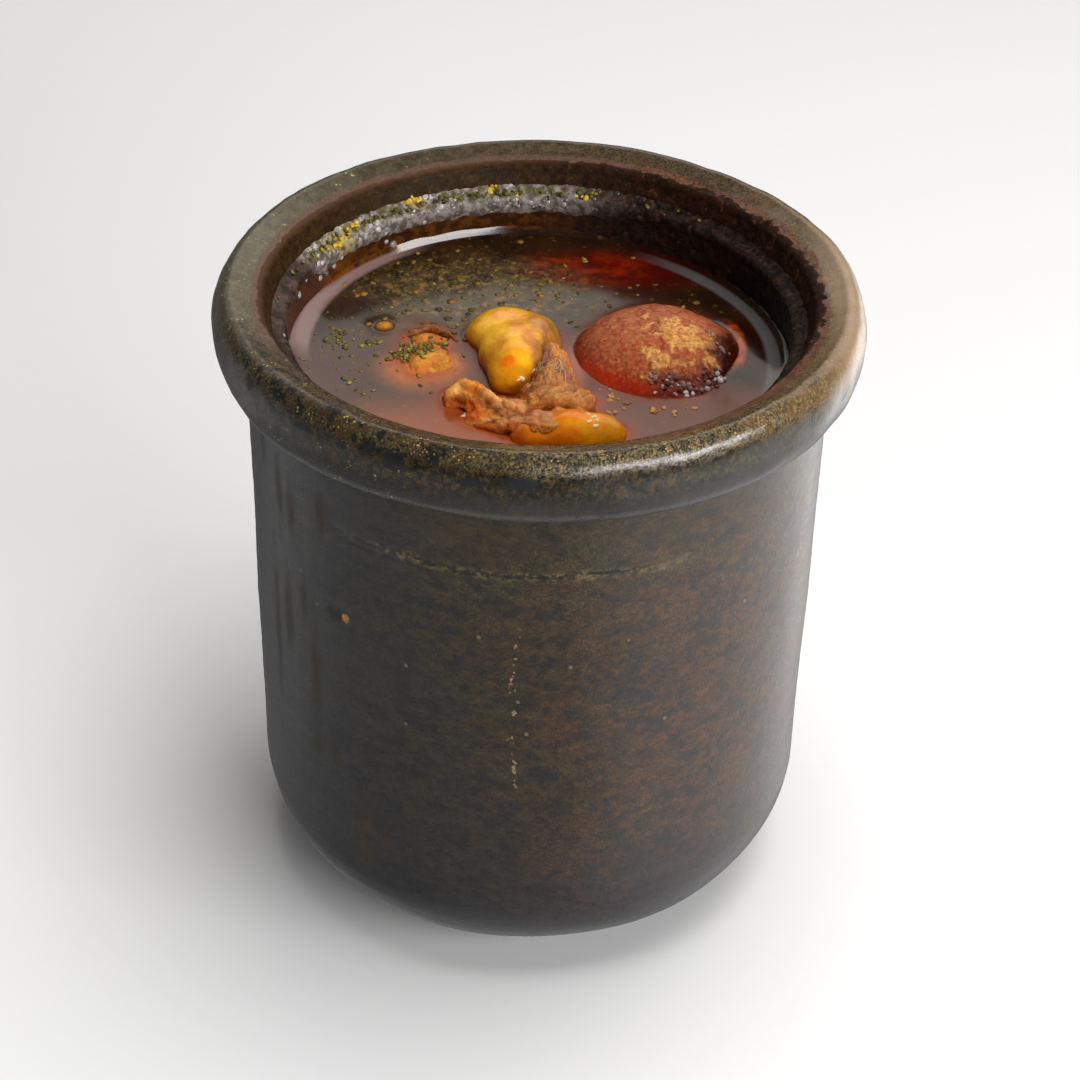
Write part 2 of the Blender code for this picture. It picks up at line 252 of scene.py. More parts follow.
# Tints of the soft pieces, each as its middle, how far it reaches, in millimetres, and its tint.
MEAT_TINTS = [
    ((4.0, -15.0, 124.0), (9.0, 9.0, 9.0), (0.4, 0.175, 0.042)),
    ((-16.4, -17.8, 122.0), (4.4, 3.2, 7.0), (0.82, 0.42, 0.1)),
    ((-8.2, -22.4, 123.0), (4.8, 2.6, 7.0), (0.84, 0.44, 0.13)),
    ((-4.0, -24.8, 123.0), (3.8, 2.4, 7.0), (0.7, 0.32, 0.1)),
    ((-12.0, -19.5, 123.0), (2.8, 2.0, 7.0), (0.84, 0.3, 0.03)),
    ((-17.6, -21.8, 121.0), (2.2, 2.6, 7.0), (0.64, 0.22, 0.03)),
    # A painted shadow: the dark red gap under the tip of the tail fat.
    ((-5.6, -18.2, 121.0), (6.0, 2.4, 7.0), (0.15, 0.014, 0.003)),
    ((-9.0, -26.2, 120.0), (5.2, 2.0, 7.0), (0.76, 0.33, 0.08)),
    ((-11.0, -27.4, 119.4), (6.0, 1.6, 7.0), (0.52, 0.1, 0.006)),
    ((-4.6, -27.4, 121.0), (4.4, 2.6, 7.0), (0.56, 0.23, 0.09)),
    ((-5.0, -30.0, 120.4), (7.0, 2.2, 7.0), (0.52, 0.09, 0.003)),
    ((-8.8, -26.8, 120.0), (2.4, 1.0, 7.0), (0.22, 0.02, 0.003)),
    ((-0.6, -26.7, 122.0), (4.4, 3.0, 7.0), (0.54, 0.26, 0.13)),
    ((3.4, -29.6, 123.0), (5.4, 2.8, 7.0), (0.52, 0.23, 0.095)),
    ((4.5, -22.2, 124.0), (9.0, 3.0, 7.0), (0.48, 0.22, 0.052)),
    ((10.4, -20.8, 121.0), (3.0, 3.6, 7.0), (0.4, 0.15, 0.035)),
    ((6.6, -26.2, 123.0), (5.0, 2.8, 7.0), (0.7, 0.19, 0.003)),
    ((1.8, -24.9, 122.6), (5.0, 1.3, 7.0), (0.5, 0.11, 0.006)),
    ((0.2, -12.2, 124.6), (2.2, 3.4, 7.0), (0.15, 0.085, 0.08)),
    ((4.8, -13.6, 124.6), (3.4, 2.2, 7.0), (0.16, 0.095, 0.09)),
    ((7.0, -16.0, 122.2), (2.2, 2.2, 7.0), (0.2, 0.11, 0.095)),
    ((1.4, -7.4, 124.2), (2.0, 3.4, 7.0), (0.24, 0.13, 0.08)),
    ((-13.6, -22.0, 120.3), (6.0, 4.0, 3.0), (0.86, 0.17, 0.002)),
    ((-12.0, -24.2, 119.8), (4.6, 2.6, 3.0), (0.76, 0.11, 0.001)),
    ((-16.4, -20.0, 120.2), (3.6, 2.4, 2.0), (0.62, 0.11, 0.003)),
    ((-9.8, -23.0, 122.0), (2.6, 1.2, 7.0), (0.56, 0.2, 0.04)),
]
TAIL_FAT_TINTS = [
    ((-10.5, 1.0, 124.0), (7.0, 8.0, 9.0), (0.95, 0.5, 0.03)),
    ((-6.0, 6.0, 125.0), (6.0, 4.0, 9.0), (0.7, 0.29, 0.04)),
    ((-4.5, 1.0, 125.0), (2.4, 6.0, 9.0), (0.62, 0.24, 0.04)),
    ((-0.2, 3.4, 124.0), (4.0, 7.0, 9.0), (0.4, 0.15, 0.025)),
    ((2.6, 0.0, 123.0), (4.0, 10.0, 9.0), (0.22, 0.075, 0.014)),
    ((-2.0, -3.5, 125.0), (2.6, 5.0, 9.0), (0.48, 0.15, 0.014)),
    ((0.4, -7.0, 124.0), (3.6, 8.0, 9.0), (0.28, 0.11, 0.025)),
    ((-6.2, -11.6, 125.0), (2.4, 1.9, 7.0), (0.68, 0.13, 0.001)),
    ((-3.6, -14.6, 122.0), (5.4, 4.2, 7.0), (0.52, 0.19, 0.001)),
    ((-12.6, -7.0, 121.0), (3.0, 6.0, 7.0), (0.6, 0.14, 0.002)),
]
FRONT_FAT_TINTS = [
    ((1.5, -33.6, 121.0), (11.0, 5.0, 8.0), (0.7, 0.16, 0.001)),
    ((7.0, -28.4, 124.0), (5.4, 3.2, 7.0), (0.62, 0.15, 0.001)),
    ((15.6, -29.4, 121.8), (5.4, 5.0, 7.0), (0.56, 0.205, 0.003)),
    ((-4.5, -31.6, 121.0), (4.0, 4.0, 7.0), (0.48, 0.08, 0.002)),
]


# ---------------------------------------------------------------- finishes

class Value:
    """A number, colour or direction that changes over a surface. Sums written on it add Math nodes."""

    def __init__(self, recipe, socket):
        self.recipe = recipe
        self.socket = socket

    def math(self, operation, *numbers):
        return self.recipe.node("ShaderNodeMath", {"operation": operation}, dict(enumerate(numbers)))

    def __add__(self, other):
        return self.math("ADD", self, other)

    def __radd__(self, other):
        return self.math("ADD", other, self)

    def __sub__(self, other):
        return self.math("SUBTRACT", self, other)

    def __rsub__(self, other):
        return self.math("SUBTRACT", other, self)

    def __mul__(self, other):
        return self.math("MULTIPLY", self, other)

    def __rmul__(self, other):
        return self.math("MULTIPLY", other, self)

    def __truediv__(self, other):
        return self.math("DIVIDE", self, other)

    def __pow__(self, other):
        return self.math("POWER", self, other)

    def __abs__(self):
        return self.math("ABSOLUTE", self)

    def lay(self, share, over):
        """Lays another colour over this one, as strongly as share says."""
        self.socket = self.recipe.mix(share, self, over).socket

    def between(self, low, high):
        """0 where this is low or under, 1 where it is high or over, smooth between. Low may be the larger."""
        settings = {"interpolation_type": "SMOOTHSTEP"}
        return self.recipe.node("ShaderNodeMapRange", settings, {0: self, 1: low, 2: high})


class Recipe:
    """A set of shader nodes that is put together a node at a time."""

    def __init__(self, tree):
        self.tree = tree

    def node(self, kind, settings=None, inputs=None, output=0):
        """Adds a node: its settings first, then what goes in its sockets. Gives one of its outputs."""
        made = self.tree.nodes.new(kind)
        for name, setting in (settings or {}).items():
            setattr(made, name, setting)
        for name, given in (inputs or {}).items():
            socket = made.inputs[name]
            if isinstance(given, Value):
                self.tree.links.new(given.socket, socket)
            elif socket.type == "RGBA":
                socket.default_value = (*given, 1.0)
            else:
                socket.default_value = given
        return Value(self, made.outputs[output])

    def parts(self, direction):
        """The three numbers of a place or direction."""
        return [self.node("ShaderNodeSeparateXYZ", None, {0: direction}, axis) for axis in "XYZ"]

    def mix(self, share, under, over):
        """A colour that goes from one to the other as share goes from 0 to 1."""
        return self.node("ShaderNodeMix", {"data_type": "RGBA"}, {0: share, 6: under, 7: over}, 2)


class Finish(Recipe):
    """A material of one piece. Patterns are measured in millimetres, from the frame's origin."""

    def __init__(self, name, **fixed):
        self.material = bpy.data.materials.new(name)
        self.material.use_nodes = True
        super().__init__(self.material.node_tree)
        self.shader = self.tree.nodes["Principled BSDF"]
        for socket, value in fixed.items():
            self.shader.inputs[socket.replace("_", " ")].default_value = value
        here = self.node("ShaderNodeTexCoord", output="Object")
        self.here = self.node("ShaderNodeVectorMath", {"operation": "SCALE"}, {0: here, "Scale": 1000.0})
        self.x, self.y, self.z = self.parts(self.here)
        self.radius = (self.x * self.x + self.y * self.y) ** 0.5

    def placed(self, size, stretch, shift, turn):
        """Where a pattern is looked up: in that size, longer by stretch along each axis, turned about Y."""
        here = self.here
        if turn:
            here = self.node("ShaderNodeVectorRotate", {"rotation_type": "Y_AXIS"}, {0: here, "Angle": turn})
        scale = [1.0 / (size * times) for times in stretch]
        shifted = {0: here, 1: scale, 2: (shift, -shift, 0.7 * shift)}
        return self.node("ShaderNodeVectorMath", {"operation": "MULTIPLY_ADD"}, shifted)

    def clouds(
        self, size, low=0.35, high=0.65, detail=3.0, rough=0.55,
        stretch=(1, 1, 1), shift=0.0, warp=0.0, turn=0.0,
    ):
        """Soft patches of about that size, from 0 to 1."""
        where = self.placed(size, stretch, shift, turn)
        inputs = {"Vector": where, "Scale": 1.0, "Detail": detail, "Roughness": rough, "Distortion": warp}
        return self.node("ShaderNodeTexNoise", None, inputs).between(low, high)

    def grains(self, size, shift=0.0):
        """How far it is to the nearest of a scatter of points, in that size."""
        inputs = {"Vector": self.placed(size, (1, 1, 1), shift, 0.0), "Scale": 1.0}
        return self.node("ShaderNodeTexVoronoi", None, inputs, "Distance")

    def specks(self, size, reach, shift=0.0):
        """Round specks, one or none to each patch of that size, out to that share of it."""
        return self.grains(size, shift).between(reach, 0.7 * reach)

    def patch(self, centre, radii, soft=0.5):
        """1 in an egg-shaped patch, falling to 0 at its edge."""
        away = self.node("ShaderNodeVectorMath", {"operation": "SUBTRACT"}, {0: self.here, 1: centre})
        scaled = self.node("ShaderNodeVectorMath", {"operation": "DIVIDE"}, {0: away, 1: radii})
        distance = self.node("ShaderNodeVectorMath", {"operation": "LENGTH"}, {0: scaled}, "Value")
        return distance.between(1.0, 1.0 - soft)

    def pool(self, x, y, wide, deep, soft):
        """1 in an oval patch of the broth's surface, falling to 0 at its edge."""
        return self.patch((x, y, 119.0), (wide, deep, 40.0), soft)

    def tinted(self, under, tints, ragged):
        """A colour with soft-edged spots of other tints laid over it."""
        for place, reach, tint in tints:
            spot = (self.patch(place, reach, 1.0) * (0.65 + 0.7 * ragged)).between(0.0, 0.6)
            under = self.mix(spot * 0.9, under, tint)
        return under

    def painted(self, name):
        """A number stored on the mesh's points."""
        return self.node("ShaderNodeAttribute", {"attribute_name": name}, None, "Fac")

    def done(self, colour, roughness=None, height=None, depth=0.0):
        """The material with that colour, that roughness, and relief that deep in millimetres at height 1."""
        varying = {"Base Color": colour, "Roughness": roughness}
        if height:
            varying["Normal"] = self.node("ShaderNodeBump", None, {"Height": height, "Distance": depth * MM})
        for socket, value in varying.items():
            if value:
                self.tree.links.new(value.socket, self.shader.inputs[socket])
        return self.material


def stoneware_glaze():
    """Dark speckled glaze: slate on the left, olive in the middle and rust on the right of the body."""
    glaze = Finish("stoneware_glaze", IOR=1.5)
    mottle = glaze.clouds(1.5, 0.32, 0.68, 7.0, 0.75, (1.9, 1.9, 1.0))
    grain = glaze.clouds(0.45, 0.44, 0.62, 2.0, 0.7)
    dark_grain = glaze.clouds(0.55, 0.48, 0.62, 2.0, 0.7, shift=7.0)
    uneven = 16.0 * glaze.clouds(24.0, 0.3, 0.7)

    body = glaze.mix(mottle, (0.007, 0.007, 0.006), (0.05, 0.03, 0.009))
    body.lay(grain * 0.35, (0.084, 0.052, 0.015))
    rust = glaze.mix(mottle, (0.014, 0.01, 0.007), (0.098, 0.035, 0.01))
    rust.lay(grain * 0.35, (0.14, 0.056, 0.015))
    body.lay((glaze.x + uneven).between(0.0, 44.0), rust)
    slate = glaze.mix(mottle * 0.5, (0.018, 0.019, 0.02), (0.032, 0.028, 0.022))
    body.lay((glaze.x + 0.7 * uneven).between(-4.0, -34.0) * 0.95, slate)
    olive = glaze.clouds(5.0, 0.36, 0.6, 4.0) * glaze.z.between(88.0, 106.0) * glaze.x.between(-30.0, -5.0)
    body.lay(olive * 0.5, glaze.mix(grain, (0.032, 0.028, 0.014), (0.1, 0.082, 0.028)))

    slanted = glaze.clouds(2.0, 0.48, 0.6, 6.0, 0.7, (2.6, 1.0, 1.0), 2.0, turn=0.6)
    body.lay(slanted * glaze.x.between(0.0, 26.0) * 0.8, (0.013, 0.013, 0.014))
    dark_patches = glaze.clouds(3.4, 0.46, 0.6, 7.0, 0.75, (1.5, 1.5, 1.0), 4.0, 0.4)
    body.lay(dark_patches * 0.75, (0.009, 0.01, 0.012))
    golden = glaze.clouds(7.0, 0.5, 0.66, 5.0, 0.7, (1.4, 1.4, 1.0), 14.0) * glaze.x.between(-18.0, 10.0)
    body.lay(golden * 0.45, glaze.mix(grain, (0.04, 0.022, 0.008), (0.13, 0.07, 0.024)))
    body.lay(dark_grain * 0.5, (0.009, 0.01, 0.011))
    low = (glaze.z + 0.8 * uneven).between(66.0, 18.0)
    body.lay(low * 0.85, glaze.mix(mottle * 0.6, (0.009, 0.01, 0.013), (0.03, 0.025, 0.024)))
    brown_top = (glaze.z + 0.4 * uneven).between(108.0, 120.0) * glaze.x.between(-36.0, -10.0)
    body.lay(brown_top * 0.6, glaze.mix(mottle, (0.008, 0.006, 0.003), (0.052, 0.028, 0.008)))

    ragged = 0.7 * glaze.clouds(2.0, 0.2, 0.8, 5.0, 0.7, (1, 1, 3)) - 0.35
    drips = (glaze.painted("drips") + 0.8 * ragged).between(0.0, 1.1)
    body.lay(drips * 0.85, glaze.mix(mottle, (0.01, 0.007, 0.003), (0.056, 0.034, 0.01)))
    stain = (glaze.painted("chip_stain") + ragged).between(0.2, 0.8)
    body.lay(stain * 0.9, (0.01, 0.007, 0.005))
    chip = (glaze.painted("chip") + 0.5 * ragged).between(0.3, 0.55)
    body.lay(chip, glaze.mix(grain, (0.36, 0.1, 0.01), (0.6, 0.24, 0.03)))

    wavering = glaze.z + 1.6 * glaze.clouds(13.0, 0.2, 0.8) - GROOVE_HEIGHT - 0.8
    shown = glaze.x.between(-40.0, -26.0) * glaze.x.between(38.0, 18.0)
    cracked = abs(wavering).between(1.7, 0.2) * glaze.clouds(1.3, 0.46, 0.6, 4.0, 0.65) * shown
    body.lay(cracked * 0.75, (0.15, 0.11, 0.036))
    holes = glaze.clouds(1.8, 0.52, 0.6, 2.0, 0.5, (2.5, 2.5, 1), 6.0)
    pits = abs(wavering).between(0.8, 0.3) * holes * shown
    body.lay(pits * 0.85, (0.006, 0.006, 0.005))

    winding = abs(glaze.x + 4.2 - 2.6 * glaze.clouds(7.0, 0.2, 0.8, 4.0)).between(0.55, 0.25)
    chain = winding * glaze.clouds(1.5, 0.55, 0.6, 3.0, 0.6, shift=9.0)
    scratch = chain * glaze.z.between(52.0, 58.0) * glaze.z.between(96.0, 90.0) * glaze.y.between(0.0, -10.0)
    pale_dots = glaze.specks(9.0, 0.055, 3.0) * glaze.z.between(100.0, 92.0) * glaze.z.between(50.0, 60.0)
    body.lay(scratch * 0.8, (0.3, 0.19, 0.1))
    body.lay(pale_dots * 0.5, (0.26, 0.16, 0.1))

    lip = glaze.mix(glaze.clouds(0.9, 0.4, 0.62, 6.0, 0.75), (0.014, 0.014, 0.012), (0.165, 0.122, 0.054))
    lip.lay(grain * 0.5, (0.3, 0.212, 0.088))
    inky = glaze.clouds(2.2, 0.5, 0.62, 6.0, 0.75, shift=15.0) * glaze.y.between(30.0, -10.0)
    lip.lay(inky * 0.6, (0.013, 0.018, 0.022))
    lip_rust = glaze.clouds(2.4, 0.48, 0.6, 5.0, 0.7) * (glaze.x + 0.5 * glaze.y).between(-10.0, 20.0)
    lip.lay(lip_rust * 0.55, (0.15, 0.066, 0.016))
    lip.lay(dark_grain * 0.7, (0.01, 0.012, 0.014))
    grey = glaze.mix(mottle, (0.034, 0.032, 0.019), (0.098, 0.087, 0.046))
    lip.lay(glaze.x.between(10.0, -36.0) * glaze.y.between(-34.0, -6.0) * 0.8, grey)
    back = glaze.mix(mottle, (0.018, 0.012, 0.007), (0.062, 0.038, 0.02))
    lip.lay(glaze.y.between(12.0, 50.0) * 0.7, back)
    front_left = glaze.x.between(2.0, -16.0) * glaze.y.between(-12.0, -30.0) * glaze.z.between(129.5, 131.5)
    lip.lay(front_left * 0.55, (0.018, 0.012, 0.005))
    mustard = glaze.clouds(1.6, 0.5, 0.62, 5.0, 0.7, shift=11.0) * front_left
    lip.lay(mustard * 0.6, glaze.mix(grain, (0.05, 0.03, 0.007), (0.17, 0.105, 0.02)))
    brown = glaze.clouds(3.2, 0.5, 0.6, 5.0, 0.7, shift=12.0) * front_left
    lip.lay(brown * 0.8, (0.052, 0.026, 0.01))
    ink = glaze.clouds(2.4, 0.51, 0.59, 5.0, 0.7, shift=13.0) * front_left
    lip.lay(ink * 0.9, (0.006, 0.008, 0.009))
    # Painted shade: the lip's front face is laid darker, over its own golden flecks.
    face = (glaze.z + 1.2 * mottle).between(134.8, 132.8) * glaze.y.between(10.0, -20.0)
    flecked = glaze.clouds(1.3, 0.46, 0.62, 6.0, 0.75, shift=17.0)
    lip.lay(face * 0.93, glaze.mix(flecked, (0.002, 0.002, 0.001), (0.05, 0.028, 0.005)))
    # Painted shade and reflection: the lip's underside is laid a dull dark grey, as it mirrors the table.
    shaded_grey_underside = (glaze.z + 1.2 * mottle).between(130.4, 127.0)
    lip.lay(shaded_grey_underside * 0.85, (0.024, 0.021, 0.018))
    # Painted highlight: a pale stripe along the lowest edge of the lip's underside.
    lip.lay(glaze.z.between(125.0, 123.6) * 0.7, (0.062, 0.062, 0.06))
    black = (glaze.painted("black_spots") + 1.3 * ragged).between(0.15, 0.65)
    lip.lay(black * 0.95, (0.005, 0.006, 0.006))
    gold = glaze.specks(0.75, 0.27, 4.0) * glaze.clouds(4.0, 0.5, 0.62, shift=1.0)
    gold = gold * glaze.z.between(133.8, 135.0) * glaze.y.between(-38.0, -54.0)
    lip.lay(gold * 0.85, (0.56, 0.28, 0.08))
    moss = glaze.specks(0.9, 0.33, 2.0) * glaze.clouds(2.6, 0.58, 0.64) * glaze.x.between(-18.0, -30.0)
    lip.lay(moss * 0.8, (0.36, 0.34, 0.04))
    tan = glaze.x.between(34.0, 56.0) * glaze.z.between(131.0, 134.0)
    lip.lay(tan * 0.45, glaze.mix(mottle, (0.08, 0.05, 0.014), (0.23, 0.13, 0.046)))
    # Painted highlight: a pale patch on the lip's far right, where it mirrors the bright table.
    far_right_highlight = glaze.x.between(52.0, 63.0) * glaze.z.between(129.0, 132.0)
    lip.lay(far_right_highlight * 0.6, (0.4, 0.27, 0.17))
    body.lay(glaze.z.between(121.2, 123.0), lip)

    crumbly = glaze.clouds(0.8, 0.36, 0.58, 4.0, 0.7, shift=5.0)
    torn = 2.2 * glaze.clouds(2.2, 0.2, 0.8, 5.0, 0.75, shift=16.0) - 1.1
    wander = glaze.radius - torn * glaze.x.between(0.0, 34.0)
    edge = wander.between(57.9, 57.0) * glaze.z.between(122.0, 124.0) * glaze.y.between(-34.0, -14.0)
    front_rust = wander.between(58.2, 57.4) * glaze.z.between(131.0, 133.0)
    edge = edge + front_rust * glaze.x.between(16.0, 28.0) * glaze.y.between(-12.0, -20.0)
    brown_edge = glaze.mix(grain, (0.07, 0.034, 0.02), (0.12, 0.062, 0.04))
    rusty_edge = glaze.mix(crumbly, (0.018, 0.007, 0.004), (0.17, 0.058, 0.024))
    body.lay(edge * 0.85, glaze.mix(glaze.x.between(0.0, 30.0), brown_edge, rusty_edge))

    on_lip = glaze.z.between(122.0, 124.0)
    shine = 0.26 - 0.05 * on_lip - 0.06 * on_lip * glaze.x.between(0.0, 16.0)
    dull = 0.25 * drips + 0.2 * stain + 0.2 * black * on_lip + 0.2 * edge
    bumps = 0.4 * grain + 0.6 * glaze.clouds(1.5, 0.3, 0.7, 4.0)
    return glaze.done(body, shine + 0.08 * mottle + dull, bumps, 0.032)


def dried_film_and_shade():
    """Dull dried broth on the pot's inside: brown on the left, orange under the ledge, black on the right.
    The dark throat under the lip and the black right side are partly painted shade.
    """
    film = Finish("dried_film_and_shade", IOR=1.4, Specular_IOR_Level=0.12)
    mottle = film.clouds(1.5, 0.32, 0.68, 6.0, 0.7)
    # The dark brown throat under the lip is partly painted shade.
    throat = film.mix(mottle, (0.014, 0.006, 0.002), (0.04, 0.02, 0.005))
    right = film.x.between(-14.0, 18.0)
    black = film.mix(mottle, (0.009, 0.004, 0.002), (0.03, 0.012, 0.006))
    rusty = film.clouds(1.9, 0.57, 0.66, 5.0, 0.7, shift=3.0)
    black.lay(rusty * 0.7, (0.11, 0.04, 0.024))
    # Black on the right: partly painted shade, where the inner wall lies in shade.
    throat.lay(right, black)
    at_lip = film.radius.between(54.6, 56.2) * film.x.between(10.0, -20.0)
    throat.lay(at_lip, (0.075, 0.033, 0.017))
    wall = film.mix(film.clouds(3.0), (0.06, 0.016, 0.003), (0.16, 0.048, 0.004))
    wall.lay(film.y.between(27.0, 21.0) * 0.8, (0.046, 0.016, 0.01))
    back_wall = film.mix(film.clouds(2.4, 0.4, 0.66, 4.0), (0.028, 0.008, 0.001), (0.09, 0.028, 0.003))
    wall.lay(film.y.between(22.0, 36.0), back_wall)
    far_wall = film.mix(mottle, (0.008, 0.004, 0.003), (0.026, 0.014, 0.01))
    wall.lay(film.x.between(-8.0, 16.0), film.mix(rusty * 0.5, far_wall, (0.11, 0.036, 0.02)))
    throat.lay(film.z.between(128.0, 126.5), wall)
    return film.done(throat, 0.5 - 0.2 * film.clouds(2.0, 0.4, 0.6), mottle, 0.08)


def broth_liquor():
    """Oily, almost black broth. It glows red and orange where pieces of food lie just under it. Painted
    reflections lie on it as mauve and grey bands, and painted shade and dark reflections as dark patches.
    """
    liquor = Finish("broth_liquor", IOR=1.38)
    broth = liquor.mix(liquor.clouds(9.0, 0.3, 0.7), (0.008, 0.004, 0.002), (0.022, 0.008, 0.003))

    front = liquor.y.between(-10.0, -30.0) * liquor.x.between(20.0, 2.0) * liquor.x.between(-48.0, -26.0)
    broth.lay(front * 0.85, (0.27, 0.062, 0.016))
    ahead = liquor.y.between(-6.0, -16.0) * liquor.x.between(6.0, 14.0)
    broth.lay(ahead * 0.8, (0.12, 0.034, 0.02))
    # Left of the tomato: a mauve film on the broth, partly painted reflection of the pale room.
    mauve_film_and_reflection = liquor.pool(7.6, -2.0, 4.0, 12.0, 1.0)
    broth.lay(mauve_film_and_reflection * 0.8, (0.3, 0.12, 0.09))
    soft = liquor.clouds(1.6, 0.3, 0.7, 5.0, 0.7, shift=6.0)
    chunk = liquor.pool(-23.0, -6.0, 12.5, 11.0, 0.9)
    broth.lay(chunk * 0.85, liquor.mix(soft, (0.42, 0.1, 0.014), (0.56, 0.17, 0.016)))
    golden = (liquor.pool(-20.5, -3.6, 7.0, 6.0, 1.0) + 0.4 * soft - 0.2).between(0.1, 0.7)
    broth.lay(golden * 0.8, (0.64, 0.33, 0.024))
    browned = (liquor.pool(-22.5, 4.0, 6.0, 5.0, 1.0) + 0.4 * soft - 0.2).between(0.1, 0.7)
    broth.lay(browned * 0.8, liquor.mix(soft, (0.1, 0.04, 0.01), (0.36, 0.18, 0.03)))
    # Painted shadow: dark red in the gap under the tip of the tail fat.
    gap = liquor.pool(-6.0, -17.4, 5.0, 3.0, 0.8)
    broth.lay(gap * 0.9, (0.12, 0.012, 0.004))
    left_stain = (liquor.x + 8.0 * soft).between(-28.0, -36.0) * liquor.y.between(10.0, -4.0)
    broth.lay(left_stain * 0.5, (0.07, 0.02, 0.012))
    streaky = liquor.clouds(3.4, 0.3, 0.6, 5.0, 0.65, (1.6, 1.0, 1.0), warp=0.6)
    dim = liquor.pool(16.0, 36.0, 26.0, 12.0, 0.6)
    broth.lay(dim * 0.85, (0.044, 0.002, 0.001))
    sunk = liquor.pool(10.0, 36.5, 19.0, 9.5, 0.6) * streaky
    red = liquor.mix(liquor.clouds(4.0), (0.064, 0.003, 0.001), (0.19, 0.013, 0.001))
    broth.lay(sunk * 0.9, red)
    near = liquor.painted("near_food") * liquor.x.between(40.0, 30.0)
    broth.lay(near * 0.9, (0.33, 0.052, 0.008))
    # Painted shade: right of the tomato the broth is laid dark over its glow.
    lee = liquor.pool(42.0, 4.0, 6.0, 16.0, 0.6)
    broth.lay(lee * 0.9, (0.014, 0.002, 0.001))
    line = abs(liquor.x - 40.7 + 0.05 * (liquor.y - 4.0) * (liquor.y - 4.0) * 0.4).between(1.9, 0.4)
    line = line * liquor.y.between(-6.0, -1.0) * liquor.y.between(16.0, 10.0)
    beside = line * liquor.clouds(2.4, 0.2, 0.55, 4.0)
    broth.lay(beside, (0.34, 0.046, 0.004))

    dusty = liquor.pool(-14.0, 25.0, 34.0, 21.0, 0.7)
    broth.lay(dusty * liquor.clouds(3.0, 0.35, 0.6, 4.0) * 0.8, (0.06, 0.042, 0.014))
    clumps = liquor.clouds(2.2, 0.52, 0.66, 3.0, 0.6, shift=4.0) * dusty
    herbal = liquor.mix(liquor.clouds(3.0), (0.14, 0.105, 0.02), (0.23, 0.085, 0.014))
    broth.lay(clumps * 0.8, herbal)
    dust = liquor.clouds(0.9, 0.5, 0.66, 4.0, 0.7) * dusty
    broth.lay(dust * 0.5, (0.15, 0.11, 0.028))
    # Painted reflection: a mauve band along the left of the broth, near the wall.
    mauve_reflection_band = (liquor.radius - 0.055 * liquor.y).between(46.0, 47.0)
    mauve_reflection_band = mauve_reflection_band * liquor.x.between(-22.0, -34.0) * liquor.y.between(-6.0, 4.0)
    broth.lay(mauve_reflection_band * 0.8, (0.19, 0.115, 0.105))
    # Painted reflection: a dark patch on the left, where the dark throat is mirrored.
    dark_reflection_blot = liquor.pool(-37.5, 17.5, 8.0, 6.0, 0.7)
    broth.lay(dark_reflection_blot * 0.85, (0.014, 0.003, 0.002))
    # Painted shadow behind the top left of the tail fat.
    shadow_behind_fat = liquor.pool(-14.6, 8.0, 4.0, 4.0, 0.8)
    broth.lay(shadow_behind_fat * 0.85, (0.012, 0.004, 0.002))
    # Painted reflection: a grey ring round the right front of the broth.
    ring = liquor.radius.between(45.4, 46.6) * liquor.radius.between(49.2, 48.4)
    ring = ring * liquor.x.between(18.0, 34.0) * liquor.y.between(-20.0, -12.0)
    broth.lay(ring * 0.9, (0.086, 0.08, 0.08))
    film = liquor.z.between(120.4, 121.0) * liquor.radius.between(48.0, 49.4)
    stain = liquor.mix(liquor.clouds(2.0), (0.03, 0.01, 0.002), (0.115, 0.034, 0.003))
    broth.lay(film, liquor.mix(liquor.x.between(-14.0, 14.0), stain, (0.01, 0.005, 0.003)))
    dull = 0.12 + 0.05 * dusty + 0.2 * dust - 0.05 * film
    return liquor.done(broth, dull + 0.22 * liquor.painted("near_food"))


